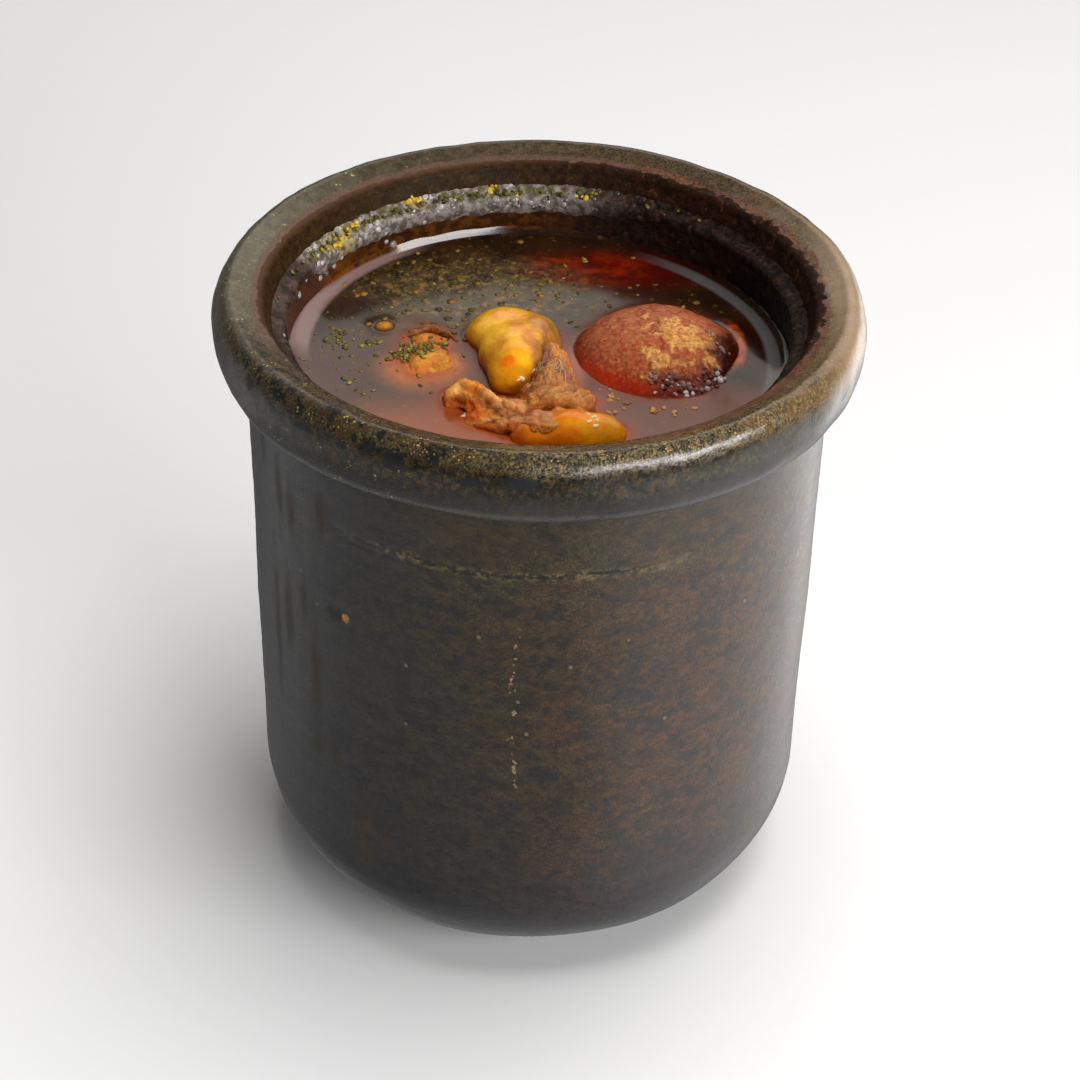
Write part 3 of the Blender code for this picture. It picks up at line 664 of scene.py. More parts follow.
def tomato_skin():
    """Deep red cooked skin under a granular golden crust, dark towards the right, where it is wet and partly
    painted shade.
    """
    skin = Finish("tomato_skin", IOR=1.38, Subsurface_Weight=0.1, Subsurface_Scale=0.002)
    mottle = skin.clouds(1.2, 0.32, 0.68, 5.0, 0.7)
    flesh = skin.mix(mottle, (0.17, 0.02, 0.007), (0.34, 0.066, 0.022))
    specks = skin.clouds(0.8, 0.5, 0.62, 3.0, 0.65, shift=3.0)
    spread = 0.6 + 0.4 * skin.clouds(4.0, 0.4, 0.6, shift=8.0)
    flesh.lay(specks * spread * 0.65, (0.52, 0.19, 0.052))
    tawny = skin.clouds(2.2, 0.42, 0.62, 5.0, 0.7, shift=2.0) * skin.z.between(121.5, 124.5)
    flesh.lay(tawny * 0.5, (0.42, 0.15, 0.05))
    low = (skin.z + 1.2 * mottle).between(122.9, 120.9)
    bare = skin.mix(skin.y.between(1.0, -9.0), (0.15, 0.012, 0.004), (0.36, 0.014, 0.001))
    flesh.lay(low * 0.85, bare)
    crust = skin.painted("crust")
    spice = skin.mix(skin.clouds(0.9, 0.36, 0.64, 4.0, 0.7), (0.3, 0.105, 0.026), (0.58, 0.29, 0.08))
    ragged = (crust + 0.6 * skin.clouds(0.9, 0.25, 0.75, 4.0, 0.7, shift=9.0) - 0.3).between(0.15, 0.7)
    flesh.lay(ragged, spice)
    wet = skin.painted("wet")
    scummy = skin.clouds(0.9, 0.4, 0.6, 4.0, 0.7, shift=5.0)
    murky = skin.mix(scummy, (0.036, 0.007, 0.004), (0.14, 0.06, 0.048))
    # Darkest at the far right: painted shade.
    murky.lay(skin.x.between(34.6, 37.4), (0.024, 0.003, 0.001))
    flesh.lay(wet * 0.95, murky)
    dull = 0.42 - 0.24 * wet - 0.2 * skin.z.between(122.8, 120.2) + 0.25 * crust
    return skin.done(flesh, dull, skin.clouds(0.8, 0.3, 0.7, 3.0, 0.6), 0.05)


def soft_fat(name, tints, lower, upper):
    """Smooth wet tail fat, yellow-orange, with deeper and paler streaks."""
    fat = Finish(name, IOR=1.4, Subsurface_Weight=0.25, Subsurface_Scale=0.003)
    base = fat.mix(fat.clouds(4.0, 0.3, 0.7, 3.0), lower, upper)
    orange = fat.clouds(3.0, 0.5, 0.68, 4.0, 0.6, shift=6.0, warp=0.8)
    base.lay(orange * 0.35, (0.68, 0.18, 0.002))
    base = fat.tinted(base, tints, fat.clouds(1.4, 0.3, 0.7, 4.0))
    veins = fat.clouds(1.6, 0.52, 0.66, 4.0, 0.6, (0.5, 2.2, 1.0), 2.0, 0.6)
    base.lay(veins * 0.15, (0.74, 0.36, 0.04))
    base.lay(fat.z.between(120.6, 119.2) * 0.8, (0.52, 0.09, 0.002))
    return fat.done(base, 0.14 + 0.1 * veins, fat.clouds(1.3, 0.3, 0.7, 2.0), 0.05)


def lamb():
    """Boiled lamb: tan and golden-brown strings under a wet film of orange fat, with deep red hollows, and
    deeper red in the gaps between strings that is partly painted shade.
    """
    wet = {"Coat_Weight": 0.25, "Coat_Roughness": 0.12}
    meat = Finish("lamb", IOR=1.4, Subsurface_Weight=0.5, Subsurface_Scale=0.003, **wet)
    gaps = meat.painted("gaps")
    crumb = meat.clouds(0.8, 0.34, 0.66, 5.0, 0.72)
    base = meat.mix(crumb, (0.4, 0.11, 0.01), (0.72, 0.31, 0.06))
    oily = meat.clouds(2.2, 0.52, 0.64, 4.0, 0.7, shift=9.0, warp=0.5)
    base.lay(oily * 0.6, (0.72, 0.19, 0.004))
    base = meat.tinted(base, MEAT_TINTS, meat.clouds(1.4, 0.3, 0.7, 5.0, 0.7))
    orange = meat.clouds(1.7, 0.53, 0.66, 5.0, 0.7, shift=12.0, warp=0.6)
    base.lay(orange * 0.65, (0.72, 0.16, 0.003))
    base.lay((1.0 - crumb) * 0.35, (0.38, 0.08, 0.006))
    pale = meat.clouds(0.8, 0.55, 0.66, 4.0, 0.7, shift=3.0)
    base.lay(pale * 0.45, (0.76, 0.45, 0.15))
    right_mass = meat.patch((5.0, -15.0, 124.0), (9.0, 10.0, 9.0), 0.6)
    flecked = meat.clouds(0.7, 0.54, 0.62, 3.0, shift=7.0)
    base.lay(flecked * right_mass * 0.7, (0.09, 0.04, 0.03))
    # Deeper red in the gaps between strings: the meat's own red, partly painted shade.
    base.lay(gaps * 0.45, (0.36, 0.05, 0.004))
    base.lay((meat.z + 0.8 * crumb).between(121.0, 119.4) * 0.8, (0.62, 0.12, 0.006))
    left = meat.patch((-12.5, -23.4, 121.5), (6.0, 3.5, 8.0), 0.7)
    return meat.done(base, 0.3 - 0.16 * left - 0.1 * oily, crumb, 0.15)


def boiled_potato():
    """Soft orange-yellow chunk, half sunk, and stained red by the broth round its edge."""
    potato = Finish("potato", IOR=1.38, Subsurface_Weight=0.2, Subsurface_Scale=0.003)
    base = potato.mix(potato.clouds(2.2, 0.32, 0.68, 4.0, 0.6), (0.4, 0.14, 0.014), (0.6, 0.29, 0.026))
    browned = potato.patch((-22.5, 4.0, 120.0), (6.0, 5.0, 9.0), 0.9) * potato.clouds(1.5, 0.3, 0.6)
    base.lay(browned * 0.8, (0.2, 0.09, 0.018))
    yellow = potato.patch((-18.8, -3.2, 120.0), (5.6, 5.0, 9.0), 1.0)
    base.lay(yellow * 0.8, (0.68, 0.36, 0.014))
    olive = potato.clouds(1.8, 0.52, 0.64, 3.0, shift=5.0)
    base.lay(olive * 0.5, (0.33, 0.22, 0.04))
    ragged = potato.clouds(1.6, 0.3, 0.7, 4.0, 0.7, shift=7.0)
    base.lay((potato.z + 0.9 * ragged).between(121.2, 119.8) * 0.9, (0.44, 0.115, 0.012))
    return potato.done(base, 0.36 + 0.1 * potato.clouds(1.2), potato.clouds(0.9, 0.3, 0.7, 3.0), 0.1)


def pulse():
    """Golden skin of a cooked chickpea."""
    pea = Finish("chickpea", IOR=1.37, Subsurface_Weight=0.1, Subsurface_Scale=0.002)
    base = pea.mix(pea.clouds(1.2, 0.35, 0.65), (0.36, 0.12, 0.002), (0.48, 0.2, 0.003))
    # Painted shade: the chickpea darkens where it dips into the broth.
    base.lay(pea.z.between(119.9, 119.2) * 0.9, (0.03, 0.01, 0.003))
    return pea.done(base, 0.28 + 0.1 * pea.clouds(0.8), pea.clouds(0.5, 0.3, 0.7), 0.05)


def flecks(name, colours, roughness):
    """Small scattered things of several tints, each of one tint."""
    fleck = Finish(name, Roughness=roughness, IOR=1.42)
    island = fleck.node("ShaderNodeNewGeometry", output="Random Per Island")
    tint = fleck.mix(island.between(0.2, 0.5), colours[0], colours[1])
    tint.lay(island.between(0.6, 1.0), colours[2])
    tint.lay(fleck.clouds(0.4) * 0.4, colours[0])
    return fleck.done(tint, None, fleck.clouds(0.3), 0.05)


def froth(name, tints, roughness, right_from=90.0, gloss=0.0):
    """Glossy beads and bubbles, each of one tint between the first two, and of the last right of some x."""
    foam = Finish(name, Roughness=roughness, IOR=1.45, Coat_Weight=gloss, Coat_Roughness=0.04)
    island = foam.node("ShaderNodeNewGeometry", output="Random Per Island")
    tint = foam.mix(island.between(0.25, 0.9), tints[0], tints[1])
    to_the_right = foam.x.between(right_from, right_from + 22.0)
    tint.lay(to_the_right, tints[2])
    tint.lay(foam.clouds(0.9) * 0.3, tints[2])
    return foam.done(tint, None, foam.clouds(0.5), 0.01)


def residue():
    """Dried broth and spice that stuck to the ledge: pale and green on the left, dark on the right."""
    dried = Finish("ledge_residue", IOR=1.45, Specular_IOR_Level=0.25)
    lumps = dried.clouds(1.7, 0.4, 0.6, 4.0, 0.6)
    base = dried.mix(lumps, (0.085, 0.064, 0.048), (0.235, 0.204, 0.184))
    green = dried.clouds(2.2, 0.44, 0.58, 4.0, shift=3.0) * dried.z.between(128.0, 128.8)
    herbal = dried.mix(dried.clouds(0.8), (0.036, 0.03, 0.008), (0.11, 0.09, 0.013))
    base.lay(green * 0.85, herbal)
    yellow = dried.patch((-42.0, 29.5, 128.0), (6.0, 5.0, 4.0), 0.7) * dried.clouds(1.4)
    base.lay(yellow * 0.85, (0.5, 0.34, 0.02))
    tan = dried.patch((-27.0, 45.6, 129.5), (3.4, 3.0, 3.0), 0.7) * dried.clouds(1.4)
    base.lay(tan * 0.85, (0.52, 0.3, 0.08))
    brown = dried.mix(dried.clouds(3.2, 0.4, 0.66, 5.0), (0.012, 0.006, 0.004), (0.056, 0.03, 0.023))
    base.lay(dried.y.between(22.0, 16.0), brown)
    dark = dried.mix(lumps, (0.005, 0.003, 0.002), (0.022, 0.011, 0.008))
    dark.lay(dried.clouds(1.5, 0.54, 0.66, 6.0, 0.7, shift=6.0) * 0.7, (0.085, 0.03, 0.018))
    right = dried.x.between(-2.0, 20.0)
    base.lay(right, dark)
    dull = 0.24 + 0.2 * dried.clouds(1.5) + 0.3 * right
    return dried.done(base, dull, dried.clouds(0.8, 0.3, 0.7, 3.0), 0.06)


def plain(name, colour, roughness):
    """A plain pale surface with the faintest grain."""
    paper = Finish(name, Roughness=roughness)
    return paper.done(paper.mix(paper.clouds(3.0) * 0.05, colour, [0.9 * part for part in colour]))


# ---------------------------------------------------------------- shaping

def link(name, mesh, material):
    """Puts a mesh in the scene as a smooth-shaded piece of one material."""
    made = bpy.data.objects.new(name, mesh)
    bpy.context.scene.collection.objects.link(made)
    mesh.materials.clear()
    mesh.materials.append(material)
    mesh.shade_smooth()
    return made


def meshed(name, points, faces, material):
    mesh = bpy.data.meshes.new(name)
    mesh.from_pydata(points, [], faces)
    return link(name, mesh, material)


def stands_for(piece, *nodes, slot):
    """The piece rides on the one body, and is shown in place of those nodes of the frame."""
    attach(piece, "root")
    if nodes:
        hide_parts(*nodes)
    return piece


def rough(point, size, shift=0.0):
    """Smooth unevenness from about -1 to 1, in features of that size."""
    return noise.noise(Vector(point) / size + Vector((shift, 1.7 * shift, -shift)))


def uneven(point, *layers):
    """A sum of layers of unevenness in metres, each given in millimetres as its height, size and shift."""
    return sum(height * rough(point, size * MM, shift) for height, size, shift in layers) * MM


def smoothstep(value, low, high):
    share = min(1.0, max(0.0, (value - low) / (high - low)))
    return share * share * (3.0 - 2.0 * share)


def bell(distance):
    """1 at no distance, falling to nothing at about 2."""
    return math.exp(-distance * distance)


def turns(columns):
    """Angles in radians all the way round, from the front by the right."""
    return [2.0 * math.pi * step / columns for step in range(columns)]


def around(radius, turn, height):
    """The point that far from the pot's axis, at that angle and height."""
    return radius * math.sin(turn), -radius * math.cos(turn), height


def arc(centre, radii, start, end, count=24):
    """Points (radius, height) on an ellipse's arc, from one angle to another in degrees."""
    angles = np.radians(np.linspace(start, end, count + 1))
    return np.column_stack([centre[0] + radii[0] * np.cos(angles), centre[1] + radii[1] * np.sin(angles)])


def spaced(outline, spacing):
    """The outline again, with its points as far apart as spacing says at each place."""
    steps = np.linspace(0.0, 1.0, 41)[:-1]
    dense = [a + (b - a) * step for a, b in zip(outline[:-1], outline[1:]) for step in steps]
    dense = np.array([*dense, outline[-1]])
    gaps = np.linalg.norm(np.diff(dense, axis=0), axis=1)
    wanted = np.array([spacing(radius, height) for radius, height in dense[1:]])
    passed = np.concatenate([[0.0], np.cumsum(gaps / wanted)])
    stops = np.linspace(0.0, passed[-1], int(passed[-1]) + 2)
    return np.column_stack([np.interp(stops, passed, dense[:, 0]), np.interp(stops, passed, dense[:, 1])])


def outward(outline):
    """Which way each point of an outline faces, as a share out from the axis and a share up."""
    along = np.gradient(outline, axis=0)
    return np.column_stack([along[:, 1], -along[:, 0]]) / np.linalg.norm(along, axis=1)[:, None]


def band(low, high, count):
    """Faces between two rings of that many points, which start at those numbers."""
    pairs = [(step, (step + 1) % count) for step in range(count)]
    return [(low + step, low + after, high + after, high + step) for step, after in pairs]


def round_skin(name, rows, material):
    """A closed skin of rings of points, whose first and last rings have shrunk to a point."""
    count = len(rows[1])
    points = [rows[0][0], *[point for ring in rows[1:-1] for point in ring], rows[-1][0]]
    last = len(points) - 1
    start = 1 + count * (len(rows) - 3)
    faces = []
    for step in range(count):
        after = (step + 1) % count
        faces.append((0, 1 + after, 1 + step))
        faces.append((last, start + step, start + after))
    for row in range(len(rows) - 3):
        low = 1 + count * row
        faces += band(low, low + count, count)
    return meshed(name, points, faces, material)


def ring_of(name, points, count, material):
    """A closed ring made of cross-sections of that many points each."""
    faces = []
    for low in range(0, len(points), count):
        faces += band(low, (low + count) % len(points), count)
    return meshed(name, points, faces, material)


def pot_outline():
    """The pot's section, from the middle of its foot up, over the lip and down inside to the floor."""
    foot_corner = (FOOT_RADIUS, FOOT_CORNER)
    neck_cove = (NECK_RADIUS + NECK_COVE, LIP_MID_HEIGHT - LIP_HALF_HEIGHT - NECK_COVE)
    lip_middle = (LIP_RADIUS - LIP_ROLL, LIP_MID_HEIGHT)
    mouth_edge = (MOUTH_RADIUS + MOUTH_ROUND, LIP_HEIGHT - MOUTH_DROP - MOUTH_ROUND)
    seat_cove = (SEAT_RADIUS - SEAT_COVE, SEAT_HEIGHT + SEAT_COVE)
    seat_edge = (INNER_RADIUS + SEAT_ROUND, SEAT_HEIGHT - SEAT_ROUND)
    inner_corner = (INNER_RADIUS - INNER_CORNER, FLOOR + INNER_CORNER)
    return np.vstack([
        [(0.0, 0.0)],
        arc(foot_corner, (SHOULDER_RADIUS - FOOT_RADIUS, FOOT_CORNER), -90.0, 0.0),
        arc(neck_cove, (NECK_COVE, NECK_COVE), 180.0, 100.0),
        arc(lip_middle, (LIP_ROLL, LIP_HALF_HEIGHT), -78.0, 110.0),
        arc(mouth_edge, (MOUTH_ROUND, MOUTH_ROUND), 105.0, 180.0),
        arc(seat_cove, (SEAT_COVE, SEAT_COVE), 0.0, -90.0),
        arc(seat_edge, (SEAT_ROUND, SEAT_ROUND), 90.0, 180.0),
        arc(inner_corner, (INNER_CORNER, INNER_CORNER), 0.0, -90.0),
        [(0.0, FLOOR)],
    ])


def pot_spacing(radius, height):
    """How far apart the rings of the pot's skin are: close at lip, seat and groove, and wide where hidden."""
    under_broth = radius < INNER_RADIUS + 0.1 * MM and height < BROTH_LEVEL - 3.0 * MM
    if under_broth or height < 0.5 * MM:
        return 5.0 * MM
    if height > LIP_MID_HEIGHT - 12.0 * MM:
        return 0.45 * MM
    near_groove = abs(height - GROOVE_HEIGHT * MM) < 2.5 * MM
    return (0.3 if near_groove else 0.95) * MM


def pot_relief(point, turn, radius, height):
    """How far the pot's skin stands out at a point: the thrower's wobble, the groove, drips and a chip."""
    outside = radius > NECK_RADIUS - 3.0 * MM or height < 30.0 * MM
    if not outside:
        below = height < BROTH_LEVEL - 3.0 * MM
        return 0.0 if below else uneven(point, (0.15, 6.0, 0.0))
    x, y, z = point
    on_lip = smoothstep(height, 119.0 * MM, 124.0 * MM)
    out = uneven(point, (0.3, 26.0, 0.0)) + on_lip * uneven(point, (0.26, 8.0, 3.0), (0.08, 2.6, 4.0))
    out += uneven((x, y, 26.0 * z), (0.07, 60.0, 5.0)) * (1.0 - on_lip)
    groove_at = GROOVE_HEIGHT * MM + uneven(point, (0.8, 14.0, 8.0))
    broken = smoothstep(rough(point, 4.0 * MM, 1.0), -0.25, 0.25)
    broken *= smoothstep(x, -40.0 * MM, -28.0 * MM) * (1.0 - smoothstep(x, 20.0 * MM, 40.0 * MM))
    across = (height - groove_at) / (0.4 * MM)
    out += (0.06 * bell(across + 2.2) - 0.16 * bell(across)) * broken * MM
    left = smoothstep(-x, 26.0 * MM, 42.0 * MM)
    streak = smoothstep(rough((x, y, 0.12 * z), 4.0 * MM, 2.0), 0.1, 0.4)
    out += 0.05 * MM * left * streak * (1.0 - on_lip)
    sideways = NECK_RADIUS * (turn - math.radians(CHIP[0]))
    away = math.hypot(sideways, height - CHIP[2] * MM) / (0.9 * MM)
    out += (0.12 * bell(away - 1.8) - 0.45 * bell(away)) * MM
    return out * smoothstep(height, 0.0, 3.0 * MM)


def store(piece, name, values):
    """Stores a number on each point of a piece, for its finish to read."""
    piece.data.attributes.new(name, "FLOAT", "POINT").data.foreach_set("value", values)


def paint(piece, name, amount):
    """Stores what amount says at each point of a piece."""
    store(piece, name, [amount(vertex.co) for vertex in piece.data.vertices])


def paint_marks(piece, name, marks):
    """Stores how strongly marks on the pot show at each point: 1 in a mark's middle and 0 past its edge."""
    places = np.empty(3 * len(piece.data.vertices), np.float32)
    piece.data.vertices.foreach_get("co", places)
    x, y, height = places.reshape(-1, 3).T / MM
    radius = np.hypot(x, y)
    strength = np.zeros(len(x), np.float32)
    for angle, reach, level, half_width, half_height in marks:
        turned = np.arctan2(x, -y) - math.radians(angle)
        sideways = (turned + math.pi) % (2.0 * math.pi) - math.pi
        across = reach * sideways / half_width
        along = np.hypot(radius - reach, height - level) / half_height
        strength = np.maximum(strength, 1.15 - np.hypot(across, along))
    store(piece, name, np.clip(strength, 0.0, 1.0))


def thrown_pot():
    """The pot's skin: its section turned round, with the relief along its normals."""
    outline = spaced(pot_outline(), pot_spacing)
    rows = []
    for (radius, height), (out, up) in zip(outline, outward(outline)):
        ring = []
        for turn in turns(POT_COLUMNS):
            signed = turn if turn < math.pi else turn - 2.0 * math.pi
            relief = pot_relief(around(radius, turn, height), signed, radius, height)
            ring.append(around(radius + out * relief, turn, height + up * relief))
        rows.append(ring)
    piece = round_skin("pot_skin", rows, stoneware_glaze())
    paint_marks(piece, "drips", DRIPS)
    paint_marks(piece, "black_spots", BLACK_SPOTS)
    paint_marks(piece, "chip", [CHIP])
    paint_marks(piece, "chip_stain", [CHIP_STAIN])
    return stands_for(piece, "pot", slot="stoneware_glaze")


def wall_film():
    """A thin dull film of dried broth on the pot's inside, darkened in the throat and on the right as painted
    shade, which ends raggedly under the lip.
    """
    outline = spaced(pot_outline(), pot_spacing)
    top = int(np.argmax(outline[:, 1]))
    section = [
        (radius, height) for radius, height in outline[top:]
        if radius < MOUTH_RADIUS + 3.4 * MM and height > BROTH_LEVEL - 2.0 * MM
    ]
    normals = outward(np.array(section))
    points = []
    for turn in turns(FILM_COLUMNS):
        for index, ((radius, height), (out, up)) in enumerate(zip(section, normals)):
            place = around(radius, turn, height)
            torn = 0.4 + 0.9 * smoothstep(place[0], 0.0, 30.0 * MM)
            past = radius + torn * uneven(place, (1.0, 2.4, 41.0), (0.5, 0.9, 42.0))
            limit = MOUTH_RADIUS + (1.7 - 2.4 * smoothstep(-place[1], 10.0 * MM, 35.0 * MM)) * MM
            at_end = index in (0, len(section) - 1)
            buried = 1.5 if at_end else smoothstep(past, limit, limit + 0.4 * MM)
            right = smoothstep(place[0], 5.0 * MM, 30.0 * MM)
            lumpy = 0.5 * right * max(0.0, rough(place, 2.0 * MM, 43.0) - 0.1)
            relief = pot_relief(place, turn, radius, height) + (0.06 + lumpy - 0.4 * buried) * MM
            points.append(around(radius + out * relief, turn, height + up * relief))
    return stands_for(ring_of("dried_film_and_shade", points, len(section), dried_film_and_shade()), slot="broth_liquor")


def soften(made, cell, times, strength):
    """Runs a piece over again in finer cells and softens it."""
    remesh = made.modifiers.new("Finer", "REMESH")
    remesh.mode = "VOXEL"
    remesh.voxel_size = cell
    smooth = made.modifiers.new("Soften", "SMOOTH")
    smooth.iterations = times
    smooth.factor = strength
    return settle(made)


def solid_copy(node, name, material):
    """A new piece that starts as a solid of the frame."""
    return link(name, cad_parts[node].data.copy(), material)


def rounded_copy(node, name, material, levels=3):
    """A solid of the frame, welded and rounded by subdivision."""
    made = solid_copy(node, name, material)
    weld = made.modifiers.new("Weld", "WELD")
    weld.merge_threshold = 0.01 * MM
    finer = made.modifiers.new("Round", "SUBSURF")
    finer.levels = levels
    finer.render_levels = levels
    return settle(made)


def settle(made):
    """Makes what a piece's modifiers do to it its own mesh."""
    graph = bpy.context.evaluated_depsgraph_get()
    mesh = bpy.data.meshes.new_from_object(made.evaluated_get(graph))
    made.modifiers.clear()
    made.data = mesh
    mesh.shade_smooth()
    return made


def sculpt(piece, move):
    """Moves each point of a piece along its normal as far as move says."""
    mesh = piece.data
    normals = [normal.vector.copy() for normal in mesh.vertex_normals]
    for vertex, normal in zip(mesh.vertices, normals):
        vertex.co = vertex.co + normal * move(vertex.co)
    mesh.update()


def along_line(point, line):
    """How far a point lies along a line of places in millimetres, and how far off it to its left."""
    here = Vector((point[0] / MM, point[1] / MM))
    best, passed = (1e9, 0.0, 0.0), 0.0
    for start, end in zip(line[:-1], line[1:]):
        start, end = Vector(start), Vector(end)
        step = end - start
        share = min(1.0, max(0.0, (here - start).dot(step) / step.length_squared))
        off = here - (start + step * share)
        side = step.x * off.y - step.y * off.x
        best = min(best, (off.length, passed + share * step.length, math.copysign(off.length, side)))
        passed += step.length
    return best[1], best[2]


# ---------------------------------------------------------------- the food

def away_from(point, x, y):
    """How many millimetres a point is from a place, seen from above."""
    return math.hypot(point[0] / MM - x, point[1] / MM - y)


def crust_of(point):
    """How thick the golden crust lies on the tomato: broken up, from its crown down to the front right."""
    x, y = point.x / MM - 28.6, point.y / MM + 2.2
    crown = math.hypot((0.72 * x - 0.69 * y) / 9.0, (0.69 * x + 0.72 * y) / 5.6)
    aside = away_from(point, 22.4, -7.6) / 2.8
    low_right = away_from(point, 34.2, -6.2) / 2.6
    broken = rough(point, 3.6 * MM, 4.0) + 0.9 * rough(point, 1.3 * MM, 6.0)
    return smoothstep(1.0 - min(crown, aside, low_right) + 0.75 * broken, -0.06, 0.42)


def wetness_and_shade_of(point):
    """Where the tomato is dark: its wet right-hand edge, also painted shade, and, less, its wet front under
    the bubbles.
    """
    towards = (point.x - 24.0 * MM) * 0.92 - (point.y - 2.0 * MM) * 0.39
    right = smoothstep(towards + uneven(point, (1.8, 3.0, 9.0)), 10.0 * MM, 12.5 * MM)
    front = smoothstep(-point.y + uneven(point, (1.2, 2.0, 10.0)), 9.4 * MM, 11.0 * MM)
    spared = smoothstep(away_from(point, 34.2, -6.2), 1.4, 2.4)
    return spared * max(right, 0.65 * front * smoothstep(point.x, 21.0 * MM, 25.0 * MM))


def make_tomato():
    piece = rounded_copy("tomato", "tomato_flesh", tomato_skin())

    def move(point):
        wrinkles = uneven(point, (0.22, 4.5, 0.0), (0.1, 1.3, 2.0))
        crust = crust_of(point) * (0.3 * MM + uneven(point, (0.35, 0.9, 7.0)))
        crust += uneven(point, (0.07, 0.7, 8.0))
        shoulder = bell(away_from(point, 12.5, 6.0) / 5.0)
        crown = bell(away_from(point, 22.0, 4.0) / 6.0)
        fuller = (shoulder - 0.45 * crown) * MM
        return wrinkles + fuller + crust * smoothstep(point.z, BROTH_LEVEL, BROTH_LEVEL + 2.0 * MM)

    sculpt(piece, move)
    paint(piece, "crust", lambda point: crust_of(point) * (1.0 - wetness_and_shade_of(point)))
    paint(piece, "wet", wetness_and_shade_of)
    return stands_for(piece, "tomato", slot="tomato_skin")


def make_fat(node, name, finish):
    piece = soften(solid_copy(node, name, finish), 0.35 * MM, 60, 0.6)
    sculpt(piece, lambda point: 0.15 * MM + uneven(point, (0.2, 6.0, 3.0), (0.06, 1.6, 5.0)))
    return stands_for(piece, node, slot="tail_fat")


def make_lamb():
    piece = soften(solid_copy("lamb_meat", "lamb_chunk", lamb()), 0.26 * MM, 16, 0.6)

    def strings(point):
        along, off = along_line(point, MEAT_GRAIN)
        off += 0.8 * rough(point, 5.0 * MM, 12.0) + 0.4 * rough(point, 1.8 * MM, 13.0)
        wide = rough((0.16 * along, 0.8 * off, 300.0 * point[2]), 1.0, 2.0)
        return wide + 0.6 * rough((0.3 * along, 2.1 * off, 500.0 * point[2]), 1.0, 4.0)

    def folded(point):
        warp = Vector((rough(point, 3.0 * MM, 21.0), rough(point, 3.0 * MM, 22.0), 0.0))
        warped = point + warp * 0.9 * MM
        return sum(height * bell(along_line(warped, line)[1] / wide) for line, wide, height in MEAT_FOLDS)

    def move(point):
        lumps = uneven(point, (0.45, 3.0, 6.0), (0.26, 1.4, 8.0), (0.16, 0.7, 9.0))
        return (0.44 * strings(point) + folded(point)) * MM + lumps

    # The gaps between strings and folds, laid deeper red: partly painted shade.
    paint(piece, "gaps", lambda point: smoothstep(-strings(point) - 0.8 * folded(point), 0.15, 0.9))
    sculpt(piece, move)
    return stands_for(piece, "lamb_meat", slot="lamb")


def sunk_meat(finish):
    """Soft meat that lies half sunk in front of the lamb and laps over the left of the front fat."""
    draw = random.Random(52)
    lumps = []
    for x, y, z, reach, rise in SUNK_LUMPS:
        sizes = (reach * MM, reach * MM, rise * MM)
        lumps.append(nugget((x * MM, y * MM, z * MM), (0.0, 0.0, 1.0), sizes, draw, 0.15, base=FINE_BALL))
    piece = soften(joined("sunk_meat", lumps, finish, "lamb"), 0.25 * MM, 30, 0.5)

    def strands(point):
        return rough((0.25 * point.x, point.y + 0.35 * point.x, point.z), 1.1 * MM, 5.0)

    def move(point):
        return 0.36 * MM * strands(point) + uneven(point, (0.3, 1.8, 7.0), (0.14, 0.7, 8.0))

    # The gaps between strands, laid deeper red: partly painted shade.
    paint(piece, "gaps", lambda point: smoothstep(-strands(point), 0.1, 0.5))
    sculpt(piece, move)
    return piece


def lamb_strings(lamb_tree):
    """Loose strings of meat that lie along the grain of the lamb."""
    draw = random.Random(51)
    line = [Vector((x * MM, y * MM)) for x, y in MEAT_GRAIN]
    spans = [(end - start).length for start, end in zip(line[:-1], line[1:])]
    shapes = []
    while len(shapes) < STRING_COUNT:
        passed = draw.triangular(10.0 * MM, sum(spans), 0.8 * sum(spans))
        off, length = draw.gauss(0.0, 3.2) * MM, draw.uniform(0.9, 3.6) * MM
        thick, waver, aslant = draw.uniform(0.06, 0.14) * MM, draw.uniform(0.0, 50.0), draw.gauss(0.0, 0.25)
        path = []
        for step in range(STRING_POINTS):
            ahead = length * (step / (STRING_POINTS - 1) - 0.5)
            aside = off + aslant * ahead + uneven((passed + ahead, waver * MM, 0.0), (0.5, 1.6, 0.0))
            spot = on_line(line, spans, passed + ahead, aside)
            hit = dropped([lamb_tree], *spot)
            if hit is None or hit[0].z < BROTH_LEVEL + 0.6 * MM:
                break
            path.append(hit[0] - hit[1] * thick * 0.2)
        if len(path) == STRING_POINTS:
            shapes.append(strand(path, thick))
    return joined("lamb_strings", shapes, flecks("meat_strings", STRING_TINTS, 0.3), "lamb")


def on_line(line, spans, along, off):
    """The point that far along a line of points and that far to its side."""
    along = min(max(along, 0.0), sum(spans) - 1e-6)
    for start, end, span in zip(line[:-1], line[1:], spans):
        if along <= span:
            ahead = (end - start) / span
            return start + ahead * along + Vector((-ahead.y, ahead.x)) * off
        along -= span


def strand(path, thick, sides=6):
    """A tapering string along a path of points."""
    points, faces = [], []
    for index, place in enumerate(path):
        after, before = path[min(index + 1, len(path) - 1)], path[max(index - 1, 0)]
        turned = (after - before).to_track_quat("Z", "Y").to_matrix()
        fat = thick * (0.25 + 0.75 * math.sin(math.pi * (index + 0.5) / len(path)))
        for turn in turns(sides):
            points.append(place + turned @ Vector((fat * math.cos(turn), fat * math.sin(turn), 0.0)))
    for low in range(0, len(points) - sides, sides):
        faces += band(low, low + sides, sides)
    faces.append(tuple(reversed(range(sides))))
    faces.append(tuple(range(len(points) - sides, len(points))))
    return points, faces


